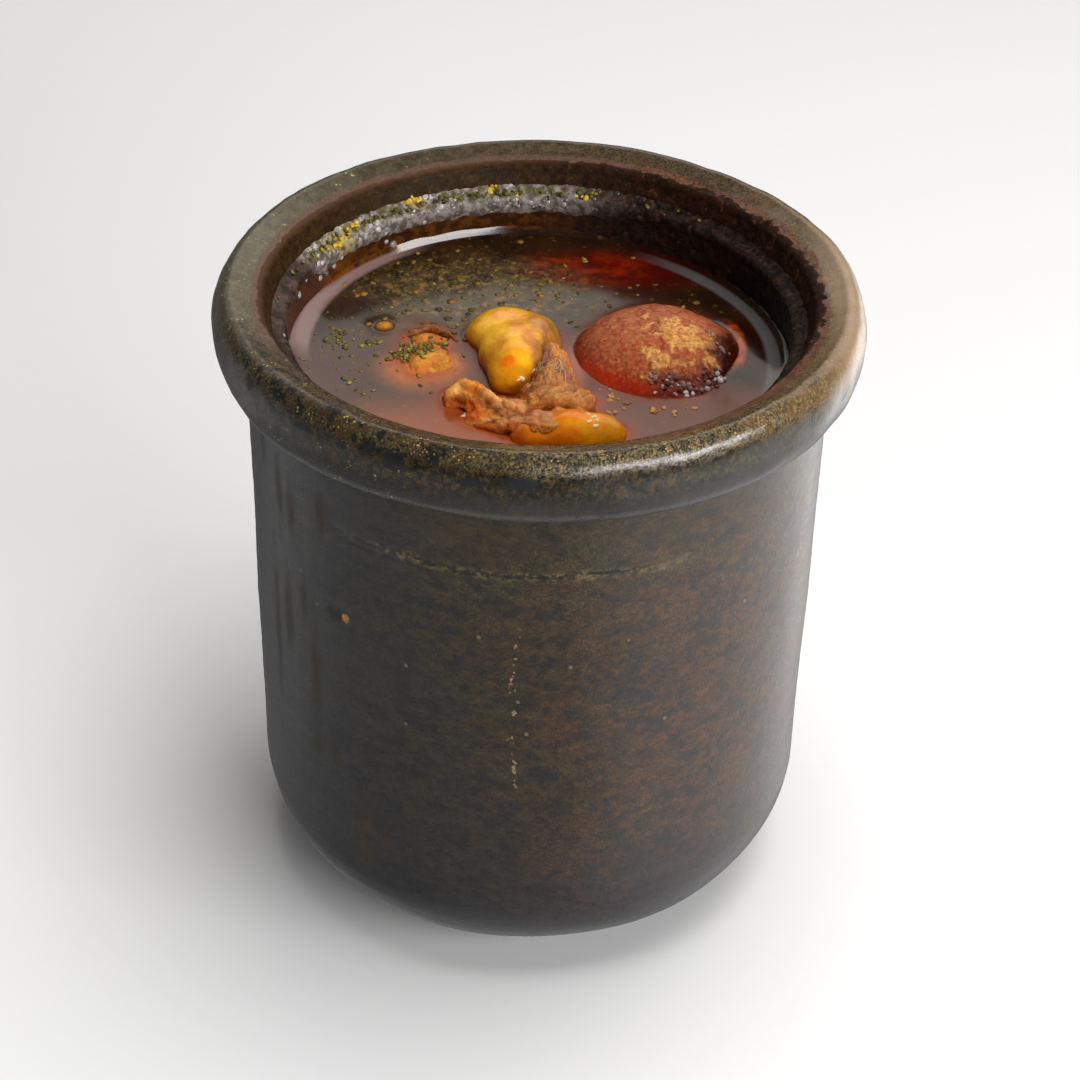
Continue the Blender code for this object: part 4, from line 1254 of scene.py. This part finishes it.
def make_potato():
    piece = soften(solid_copy("potato_chunk", "potato_flesh", boiled_potato()), 0.35 * MM, 24, 0.6)
    sculpt(piece, lambda point: uneven(point, (0.9, 3.6, 14.0), (0.45, 1.6, 0.0), (0.16, 0.7, 3.0)))
    for vertex in piece.data.vertices:
        if vertex.co.z > BROTH_LEVEL:
            vertex.co.z = BROTH_LEVEL + 0.66 * (vertex.co.z - BROTH_LEVEL)
    return stands_for(piece, "potato_chunk", slot="potato")


def make_chickpea():
    piece = rounded_copy("chickpea", "chickpea_skin", pulse())
    sculpt(piece, lambda point: uneven(point, (0.08, 1.2, 0.0)))
    return stands_for(piece, "chickpea", slot="chickpea")


def tree_of(piece):
    """A search tree over a piece's faces."""
    mesh = piece.data
    corners = [vertex.co for vertex in mesh.vertices]
    return BVHTree.FromPolygons(corners, [face.vertices for face in mesh.polygons])


def creep_up_wall(turn, off_wall):
    """How far the broth climbs the pot's wall, from a distance off it: it clings highest at the back left."""
    degrees = math.degrees(turn)
    left = smoothstep(degrees, 200.0, 240.0)
    right = smoothstep(degrees, 60.0, 90.0) * (1.0 - smoothstep(degrees, 140.0, 170.0))
    clings = smoothstep(degrees, 160.0, 178.0) * (1.0 - smoothstep(degrees, 224.0, 250.0))
    wide = (1.1 + 0.9 * left - 0.2 * right) * MM * math.exp(-off_wall / ((2.6 - 1.3 * right) * MM))
    steep = (1.7 - 0.35 * left) * max(0.0, (1.15 + 0.1 * left) * MM - off_wall)
    return wide + clings * steep


def creep_up_food(point, pieces):
    """How far the broth climbs the food near a point, and how it glows. It swells right of the tomato."""
    creep, bright = 0.0, 0.0
    lee = 1.1 * smoothstep(point.x, 32.0 * MM, 38.0 * MM)
    for tree, height, width, shine in pieces:
        found, normal, _, distance = tree.find_nearest(point, 12.0 * MM)
        if found is None:
            continue
        if (point - found).dot(normal) < 0.0:
            sunk = smoothstep(distance, 0.9 * lee * MM, (0.9 * lee + 1.0) * MM)
            return (height + lee - (height + lee + 0.8) * sunk) * MM, 0.0
        swell = lee * bell(distance / (6.0 * MM))
        creep = max(creep, (height * math.exp(-distance / (width * MM)) + swell) * MM)
        bright = max(bright, shine * math.exp(-distance / (1.8 * MM)))
    return creep, bright


def broth_reach(wall):
    """How far each ring of the broth's surface is from the middle: the rings crowd together at the wall."""
    reach = [0.0]
    while reach[-1] < wall:
        off_wall = wall - reach[-1]
        gap = 0.45 if off_wall > 6.0 * MM else 0.3 if off_wall > 1.6 * MM else 0.13
        reach.append(reach[-1] + gap * MM)
    reach[-1] = wall
    return reach


def make_broth(food):
    """The broth: its surface creeps up the pot's wall and up the food, and glows near some of the food."""
    pieces = [(tree_of(piece), *CREEP[name]) for name, piece in food.items()]
    wall = INNER_RADIUS + 0.25 * MM
    rows, glow = [[(0.0, 0.0, BROTH_LEVEL)] * BROTH_COLUMNS], []
    for radius in broth_reach(wall)[1:]:
        ring = []
        for turn in turns(BROTH_COLUMNS):
            point = Vector(around(radius, turn, BROTH_LEVEL))
            creep, bright = creep_up_food(point, pieces)
            rise = creep_up_wall(turn, wall - radius) + uneven(point, (0.05, 7.0, 31.0))
            point.z += rise + creep
            ring.append(point)
            glow.append(bright)
        rows.append(ring)
    below = spaced(np.vstack([
        [(wall, BROTH_LEVEL - 1.0 * MM)],
        arc((wall - INNER_CORNER, FLOOR + INNER_CORNER), (INNER_CORNER, INNER_CORNER), 0.0, -90.0),
        [(0.0, FLOOR)],
    ]), lambda radius, height: 5.0 * MM)
    rows += [[around(radius, turn, height) for turn in turns(BROTH_COLUMNS)] for radius, height in below]
    rows.reverse()
    piece = round_skin("broth_surface", rows, broth_liquor())
    stored = np.zeros(len(piece.data.vertices), np.float32)
    # The skin's points run from the floor's middle to the surface's middle, ring by ring.
    rings = np.array(glow, np.float32).reshape(-1, BROTH_COLUMNS)[::-1]
    stored[-1 - rings.size:-1] = rings.ravel()
    store(piece, "near_food", stored)
    return stands_for(piece, "broth", slot="broth_liquor")


# ---------------------------------------------------------------- what is scattered

def ball(subdivisions):
    """The points and faces of a ball of radius 1."""
    shape = bmesh.new()
    bmesh.ops.create_icosphere(shape, subdivisions=subdivisions, radius=1.0)
    points = np.array([vertex.co for vertex in shape.verts])
    faces = [tuple(vertex.index for vertex in face.verts) for face in shape.faces]
    shape.free()
    return points, faces


SMALL_BALL = ball(1)
FINE_BALL = ball(2)


def nugget(place, normal, sizes, draw, unevenness, bend=0.0, base=SMALL_BALL):
    """A small lump or leaf of those half sizes, lying on a surface and turned at random."""
    points, faces = base
    seed = draw.uniform(0.0, 90.0)
    swell = np.array([1.0 + unevenness * rough(point, 0.9, seed) for point in points])
    shaped = points * swell[:, None] * np.array(sizes)
    shaped[:, 2] += bend * shaped[:, 0] ** 2 / max(sizes[0], 1e-6)
    upright = Vector(normal).to_track_quat("Z", "Y").to_matrix()
    turned = upright @ Matrix.Rotation(draw.uniform(0.0, 2.0 * math.pi), 3, "Z")
    return shaped @ np.array(turned).T + np.array(place), faces


def joined(name, shapes, material, slot=None):
    """One piece of many small shapes."""
    points, faces, count = [], [], 0
    for shape_points, shape_faces in shapes:
        points.extend(map(tuple, shape_points))
        faces.extend(tuple(index + count for index in face) for face in shape_faces)
        count += len(shape_points)
    return stands_for(meshed(name, points, faces, material), slot=slot)


def dropped(trees, x, y):
    """Where something dropped at (x, y) comes to rest on the pieces, and which way the surface faces."""
    best = None
    for tree in trees:
        found, normal, _, _ = tree.ray_cast(Vector((x, y, LIP_HEIGHT + 10.0 * MM)), Vector((0.0, 0.0, -1.0)))
        if found is not None and (best is None or found.z > best[0].z):
            best = (found, normal)
    return best


def landed(draw, trees, x, y, wide, deep):
    """Where something comes to rest that is dropped near (x, y), in millimetres."""
    return dropped(trees, draw.gauss(x, wide) * MM, draw.gauss(y, deep) * MM)


def strewn(draw, count, centre, spread, keep):
    """Random places (x, y) thickest at the centre, in millimetres, where keep allows."""
    places = []
    while len(places) < count:
        x, y = draw.gauss(centre[0] * MM, spread[0] * MM), draw.gauss(centre[1] * MM, spread[1] * MM)
        if math.hypot(x, y) < INNER_RADIUS - 0.8 * MM and keep(x, y):
            places.append((x, y))
    return places


def scatter_on_broth(trees):
    """Turmeric, herbs and crumbs that float on the broth, whose tree comes before the food's."""
    surface, food = trees[:1], trees[1:]

    def free(x, y):
        hit = dropped(food, x, y)
        return hit is None or hit[0].z < BROTH_LEVEL

    draw = random.Random(11)
    shapes = []
    for x, y in strewn(draw, 120, (-17.0, 24.0), (15.0, 10.0), free):
        size = draw.uniform(0.25, 1.15) * MM
        sizes = (size, size * draw.uniform(0.5, 1.0), 0.1 * MM)
        shapes.append(nugget(*dropped(surface, x, y), sizes, draw, 0.45))
    for x, y in strewn(draw, 46, (-38.0, 0.0), (5.0, 11.0), free):
        size = draw.uniform(0.2, 0.5) * MM
        shapes.append(nugget(*dropped(surface, x, y), (size, 0.8 * size, 0.08 * MM), draw, 0.4))
    joined("turmeric_flecks", shapes, flecks("turmeric", TURMERIC_TINTS, 0.3))

    draw = random.Random(12)
    shapes = []
    places = strewn(draw, 44, (-9.0, 23.0), (16.0, 9.0), free)
    places += strewn(draw, 22, (-40.5, 4.5), (2.0, 1.6), free)
    places += strewn(draw, 26, (-35.0, -4.0), (8.0, 8.0), free)
    for x, y in places:
        size = draw.uniform(0.35, 0.95) * MM
        sizes = (size, size * draw.uniform(0.45, 0.8), 0.09 * MM)
        shapes.append(nugget(*dropped(surface, x, y), sizes, draw, 0.4, 0.2))
    joined("herb_flecks", shapes, flecks("herbs", HERB_TINTS, 0.35))

    draw = random.Random(13)
    shapes = []
    for x, y, count in CRUMB_PLACES:
        for _ in range(count):
            spot = (draw.gauss(x, 0.8) * MM, draw.gauss(y, 0.8) * MM)
            if free(*spot):
                size = draw.uniform(0.3, 0.8) * MM
                sizes = (size, 0.75 * size, 0.5 * size)
                shapes.append(nugget(*dropped(surface, *spot), sizes, draw, 0.6, base=FINE_BALL))
    joined("meat_crumbs", shapes, flecks("crumbs", CRUMB_TINTS, 0.35), "lamb")


def herbs_on_food(trees):
    """Herb leaves caught on the potato and lying round it."""
    draw = random.Random(21)
    shapes = []
    for x, y, wide, deep, count in LEAF_PLACES:
        for _ in range(count):
            hit, normal = landed(draw, trees, x, y, wide, deep)
            size = draw.uniform(0.35, 0.9) * MM
            sizes = (size, size * draw.uniform(0.45, 0.8), 0.12 * MM)
            shapes.append(nugget(hit + 0.1 * MM * normal, normal, sizes, draw, 0.35, 0.35))
    joined("herb_leaves", shapes, flecks("leaves", LEAF_TINTS, 0.4))


def foam_on_tomato(trees):
    """Bubbles where the wet side of the tomato meets the broth, some of them painted pale as glints."""
    draw = random.Random(31)
    shapes = []
    for x, y, wide, count in FOAM_PLACES:
        for _ in range(count):
            hit, normal = landed(draw, trees, x, y, wide, 0.9)
            size = (0.26 + 0.42 * draw.random() ** 1.5) * MM
            shapes.append(nugget(hit, normal, (size, size, 0.8 * size), draw, 0.02, base=FINE_BALL))
    joined("tomato_foam", shapes, froth("foam", FOAM_TINTS, 0.05, gloss=1.0), "broth_liquor")

    shapes = []
    for x, y, size in PAINTED_GLINT_BUBBLES:
        for _ in range(2):
            hit, normal = landed(draw, trees, x, y, 0.3 * size, 0.3 * size)
            small = draw.uniform(0.6, 0.9) * size * MM
            shapes.append(nugget(hit, normal, (small, 0.9 * small, 0.7 * small), draw, 0.08, base=FINE_BALL))
    joined("painted_foam_glints", shapes, froth("painted_foam_glints", FOAM_GLINT_TINTS, 0.08, gloss=1.0), "broth_liquor")


def oil_beads(trees):
    """Beads of clear fat painted pale as glints, on the tip of the tail fat, on the front fat and in the
    lamb's left hollow.
    """
    draw = random.Random(33)
    shapes = []
    for x, y, wide, deep, count in OIL_PLACES:
        for _ in range(count):
            hit, normal = landed(draw, trees, x, y, wide, deep)
            size = draw.uniform(0.3, 0.6) * MM
            shapes.append(nugget(hit, normal, (size, 0.7 * size, 0.22 * size), draw, 0.4, base=FINE_BALL))
    joined("oil_beads", shapes, froth("clear_fat_glints", CLEAR_FAT_GLINT_TINTS, 0.06, gloss=1.0), "tail_fat")


def ledge_strength(degrees):
    """How much froth and residue lies on the ledge at an angle: most from the left round to the back."""
    turned = degrees % 360.0
    return 0.25 + 0.75 * smoothstep(turned, 135.0, 168.0) * (1.0 - smoothstep(turned, 243.0, 251.0))


def on_ledge(degrees, out, up):
    """A point on the ledge: its angle, how far behind the ledge's edge and how far above, in millimetres."""
    return Vector(around(INNER_RADIUS + out * MM, math.radians(degrees), SEAT_HEIGHT + up * MM))


def inward(degrees, up):
    """The way in from the ledge towards the pot's middle, and that many times as far up."""
    return on_ledge(degrees, -1.0, up) - on_ledge(degrees, 0.0, 0.0)


def ledge_residue():
    """A crust of dried broth and spice over the ledge and the wall under it, thin on the right."""
    points = []
    for step in range(RESIDUE_COLUMNS):
        degrees = 360.0 * step / RESIDUE_COLUMNS
        strength = ledge_strength(degrees)
        hangs = strength * (1.0 + 0.3 * rough(on_ledge(degrees, 0.0, 0.0), 2.2 * MM, 7.0))
        for index, (out, up) in enumerate(RESIDUE_SECTION):
            spot = on_ledge(degrees, out, up)
            level = rough(spot, 2.0 * MM, 3.0) + 0.4 * rough(spot, 0.9 * MM, 5.0)
            hidden = index in (0, len(RESIDUE_SECTION) - 1)
            thick = 0.0 if hidden else 0.08 + (0.15 + 0.85 * strength) * (0.2 + 0.6 * level)
            on_wall = up < -0.5
            lower = up * (0.3 + 0.7 * hangs) if on_wall else up + 0.75 * thick
            points.append(on_ledge(degrees, out - 0.75 * thick, lower))
    piece = ring_of("ledge_residue", points, len(RESIDUE_SECTION), residue())
    return stands_for(piece, slot="broth_liquor")


def ledge_beads():
    """Glistening beads of oily froth along the ledge's back and merging on the wall under its edge, their
    pale tint partly painted highlight.
    """
    draw = random.Random(41)
    shapes = []
    for out, spread, up, drop, count, least, most, flat in BEAD_ROWS:
        made = 0
        while made < count:
            degrees = draw.uniform(-180.0, 180.0)
            if draw.random() < ledge_strength(degrees) ** 3.0:
                size = draw.uniform(least, most) * MM
                place = on_ledge(degrees, draw.gauss(out, spread), max(-3.3, draw.gauss(up, drop)))
                sizes = (size, 0.85 * size, flat * size)
                shapes.append(nugget(place, inward(degrees, 0.5), sizes, draw, 0.15, base=FINE_BALL))
                made += 1
    for degrees, up, size in LONE_DROPS:
        sizes = (size * MM, size * MM, 0.6 * size * MM)
        place = on_ledge(degrees, 0.0, up)
        shapes.append(nugget(place, inward(degrees, 0.3), sizes, draw, 0.1, base=FINE_BALL))
    joined("ledge_beads", shapes, froth("oily_froth", LEDGE_BEAD_TINTS, 0.12, -4.0), "broth_liquor")


def spice_on_ledge():
    """Herbs strewn along the ledge, and clumps of turmeric."""
    draw = random.Random(42)
    shapes = []
    for _ in range(LEDGE_HERB_COUNT):
        degrees, out = draw.gauss(-152.0, 26.0), draw.uniform(0.2, 2.2)
        size = draw.uniform(0.3, 0.8) * MM
        place = on_ledge(degrees, out, 0.45 + 0.25 * out)
        shapes.append(nugget(place, inward(degrees, 1.4), (size, 0.7 * size, 0.25 * size), draw, 0.4))
    joined("ledge_herbs", shapes, flecks("ledge_green", LEDGE_HERB_TINTS, 0.3))

    draw = random.Random(43)
    shapes = []
    for degrees, out, up, spread, count in TURMERIC_CLUMPS:
        for _ in range(count):
            size = draw.uniform(0.35, 0.75) * MM
            turned = draw.gauss(degrees, spread)
            place = on_ledge(turned, draw.gauss(out, 0.3), draw.gauss(up, 0.35))
            sizes = (size, 0.8 * size, 0.5 * size)
            shapes.append(nugget(place, inward(turned, 1.0), sizes, draw, 0.3, base=FINE_BALL))
    joined("ledge_turmeric", shapes, flecks("ledge_yellow", LEDGE_TURMERIC_TINTS, 0.3))


def curled_skin():
    """A curl of tomato skin that lies along the back of the potato."""
    curve = bpy.data.curves.new("curled_skin", "CURVE")
    curve.dimensions = "3D"
    curve.resolution_u = 10
    curve.bevel_depth = CURL_THICKNESS
    curve.bevel_resolution = 4
    curve.use_fill_caps = True
    spline = curve.splines.new("NURBS")
    spline.points.add(len(CURL_LINE) - 1)
    spline.use_endpoint_u = True
    for point, (x, y, up, fat) in zip(spline.points, CURL_LINE):
        point.co = (x * MM, y * MM, BROTH_LEVEL + up * MM, 1.0)
        point.radius = fat
    made = bpy.data.objects.new("curled_skin", curve)
    bpy.context.scene.collection.objects.link(made)
    graph = bpy.context.evaluated_depsgraph_get()
    mesh = bpy.data.meshes.new_from_object(made.evaluated_get(graph))
    bpy.data.objects.remove(made)
    shape = bmesh.new()
    shape.from_mesh(mesh)
    bmesh.ops.remove_doubles(shape, verts=shape.verts, dist=0.005 * MM)
    shape.to_mesh(mesh)
    shape.free()
    piece = link("curled_skin", mesh, flecks("curl_skin", CURL_TINTS, 0.25))
    sculpt(piece, lambda point: uneven(point, (0.45, 1.8, 0.0), (0.16, 0.8, 0.0)))
    return stands_for(piece, slot="tomato_skin")


# ---------------------------------------------------------------- the studio

def softbox(name, place, width, height, power):
    """A soft light with a square-cornered front, turned to the pot's mouth."""
    lamp = bpy.data.lights.new(name, "AREA")
    lamp.shape = "RECTANGLE"
    lamp.size = width
    lamp.size_y = height
    lamp.energy = power
    made = bpy.data.objects.new(name, lamp)
    made.location = place
    made.rotation_euler = (LIGHTS_AIM - Vector(place)).to_track_quat("-Z", "Y").to_euler()
    bpy.context.scene.collection.objects.link(made)
    return made


def studio_light():
    """A window low at the front right, a wide fill overhead, a dim room, and a bright wall behind the pot."""
    softbox("window", (0.77, -0.77, 0.52), 1.1, 0.2, 14.0)
    fill = softbox("overhead_fill", (0.25, 0.05, 1.35), 0.9, 0.9, 15.0)
    fill.visible_glossy = False
    world = bpy.data.worlds.new("room")
    world.use_nodes = True
    bpy.context.scene.world = world
    room = Recipe(world.node_tree)
    right, back, up = room.parts(room.node("ShaderNodeTexCoord", output="Generated"))
    wall = up.between(0.34, 0.48) * up.between(0.8, 0.68) * back.between(0.3, 0.6)
    table = up.between(-0.05, -0.3)
    near = up.between(-0.54, -0.66)
    behind = back.between(0.1, 0.8)
    pale_wall = room.mix(right.between(-0.11, -0.24), (1.68, 1.56, 1.42), (0.72, 0.75, 0.79))
    light = room.mix(wall, (0.12, 0.115, 0.11), pale_wall)
    low_wall = up.between(0.16, 0.3) * up.between(0.5, 0.42)
    low_wall = low_wall * right.between(0.06, 0.16) * back.between(0.5, 0.7)
    light.lay(low_wall, (0.8, 0.7, 0.69))
    tabletop = room.mix(back.between(0.45, 0.8), (0.44, 0.44, 0.45), (0.18, 0.18, 0.185))
    left_side = room.mix(near, (0.7, 0.69, 0.68), (0.24, 0.24, 0.245))
    left_side.lay(back.between(0.35, 0.75), (0.14, 0.14, 0.145))
    tabletop.lay(right.between(-0.15, -0.5), left_side)
    far_sunlit = room.mix(behind, (1.9, 1.86, 1.8), (2.8, 2.78, 2.74))
    near_sunlit = room.mix(behind, (0.98, 0.98, 0.99), (1.4, 1.4, 1.4))
    tabletop.lay(right.between(0.2, 0.6), room.mix(near, far_sunlit, near_sunlit))
    light.lay(table, tabletop)
    background = world.node_tree.nodes["Background"]
    room.tree.links.new(light.socket, background.inputs["Color"])
    background.inputs["Strength"].default_value = 1.0


def studio_floor():
    """The plain pale floor that the pot stands on."""
    shape = bmesh.new()
    bmesh.ops.create_grid(shape, x_segments=8, y_segments=8, size=FLOOR_HALF_WIDTH)
    mesh = bpy.data.meshes.new("studio_floor")
    shape.to_mesh(mesh)
    shape.free()
    floor = link("studio_floor", mesh, plain("pale_floor", (0.8, 0.8, 0.8), 0.7))
    floor.location.z = -0.05 * MM
    floor.visible_glossy = False


def studio_camera():
    """The camera, looking down on the pot from the front."""
    level, down = math.cos(CAMERA_TILT), math.sin(CAMERA_TILT)
    upright, lean = math.cos(CAMERA_LEAN), math.sin(CAMERA_LEAN)
    ahead = Vector((0.0, level, -down))
    right = Vector((upright, lean * down, lean * level))
    turned = Matrix((right, right.cross(ahead), -ahead)).transposed()
    lens = bpy.data.cameras.new("camera")
    lens.lens = CAMERA_LENS
    lens.sensor_width = 36.0
    lens.clip_start = 0.01
    made = bpy.data.objects.new("camera", lens)
    made.matrix_world = Matrix.Translation(CAMERA_PLACE) @ turned.to_4x4()
    bpy.context.scene.collection.objects.link(made)
    bpy.context.scene.camera = made
    bpy.context.scene.view_settings.view_transform = "Standard"


def main():
    studio_camera()
    studio_floor()
    studio_light()
    thrown_pot()
    tail_fat = soft_fat("tail_fat", TAIL_FAT_TINTS, (0.64, 0.24, 0.004), (0.72, 0.37, 0.01))
    front_fat = soft_fat("front_fat", FRONT_FAT_TINTS, (0.64, 0.18, 0.002), (0.7, 0.27, 0.005))
    food = {
        "tomato": make_tomato(),
        "tail_fat": make_fat("tail_fat", "tail_fat_lobe", tail_fat),
        "front_fat": make_fat("front_fat", "front_fat_lobe", front_fat),
        "lamb_meat": make_lamb(),
        "sunk_meat": None,
        "potato_chunk": make_potato(),
        "chickpea": make_chickpea(),
    }
    # The soft meat shares the lamb's finish, so it is made once the lamb is there.
    food["sunk_meat"] = sunk_meat(food["lamb_meat"].data.materials[0])
    broth = make_broth(food)
    trees = [tree_of(broth), *[tree_of(piece) for piece in food.values()]]
    lamb_strings(tree_of(food["lamb_meat"]))
    oil_beads(trees)
    scatter_on_broth(trees)
    herbs_on_food(trees)
    foam_on_tomato(trees)
    wall_film()
    ledge_residue()
    ledge_beads()
    spice_on_ledge()
    curled_skin()


main()
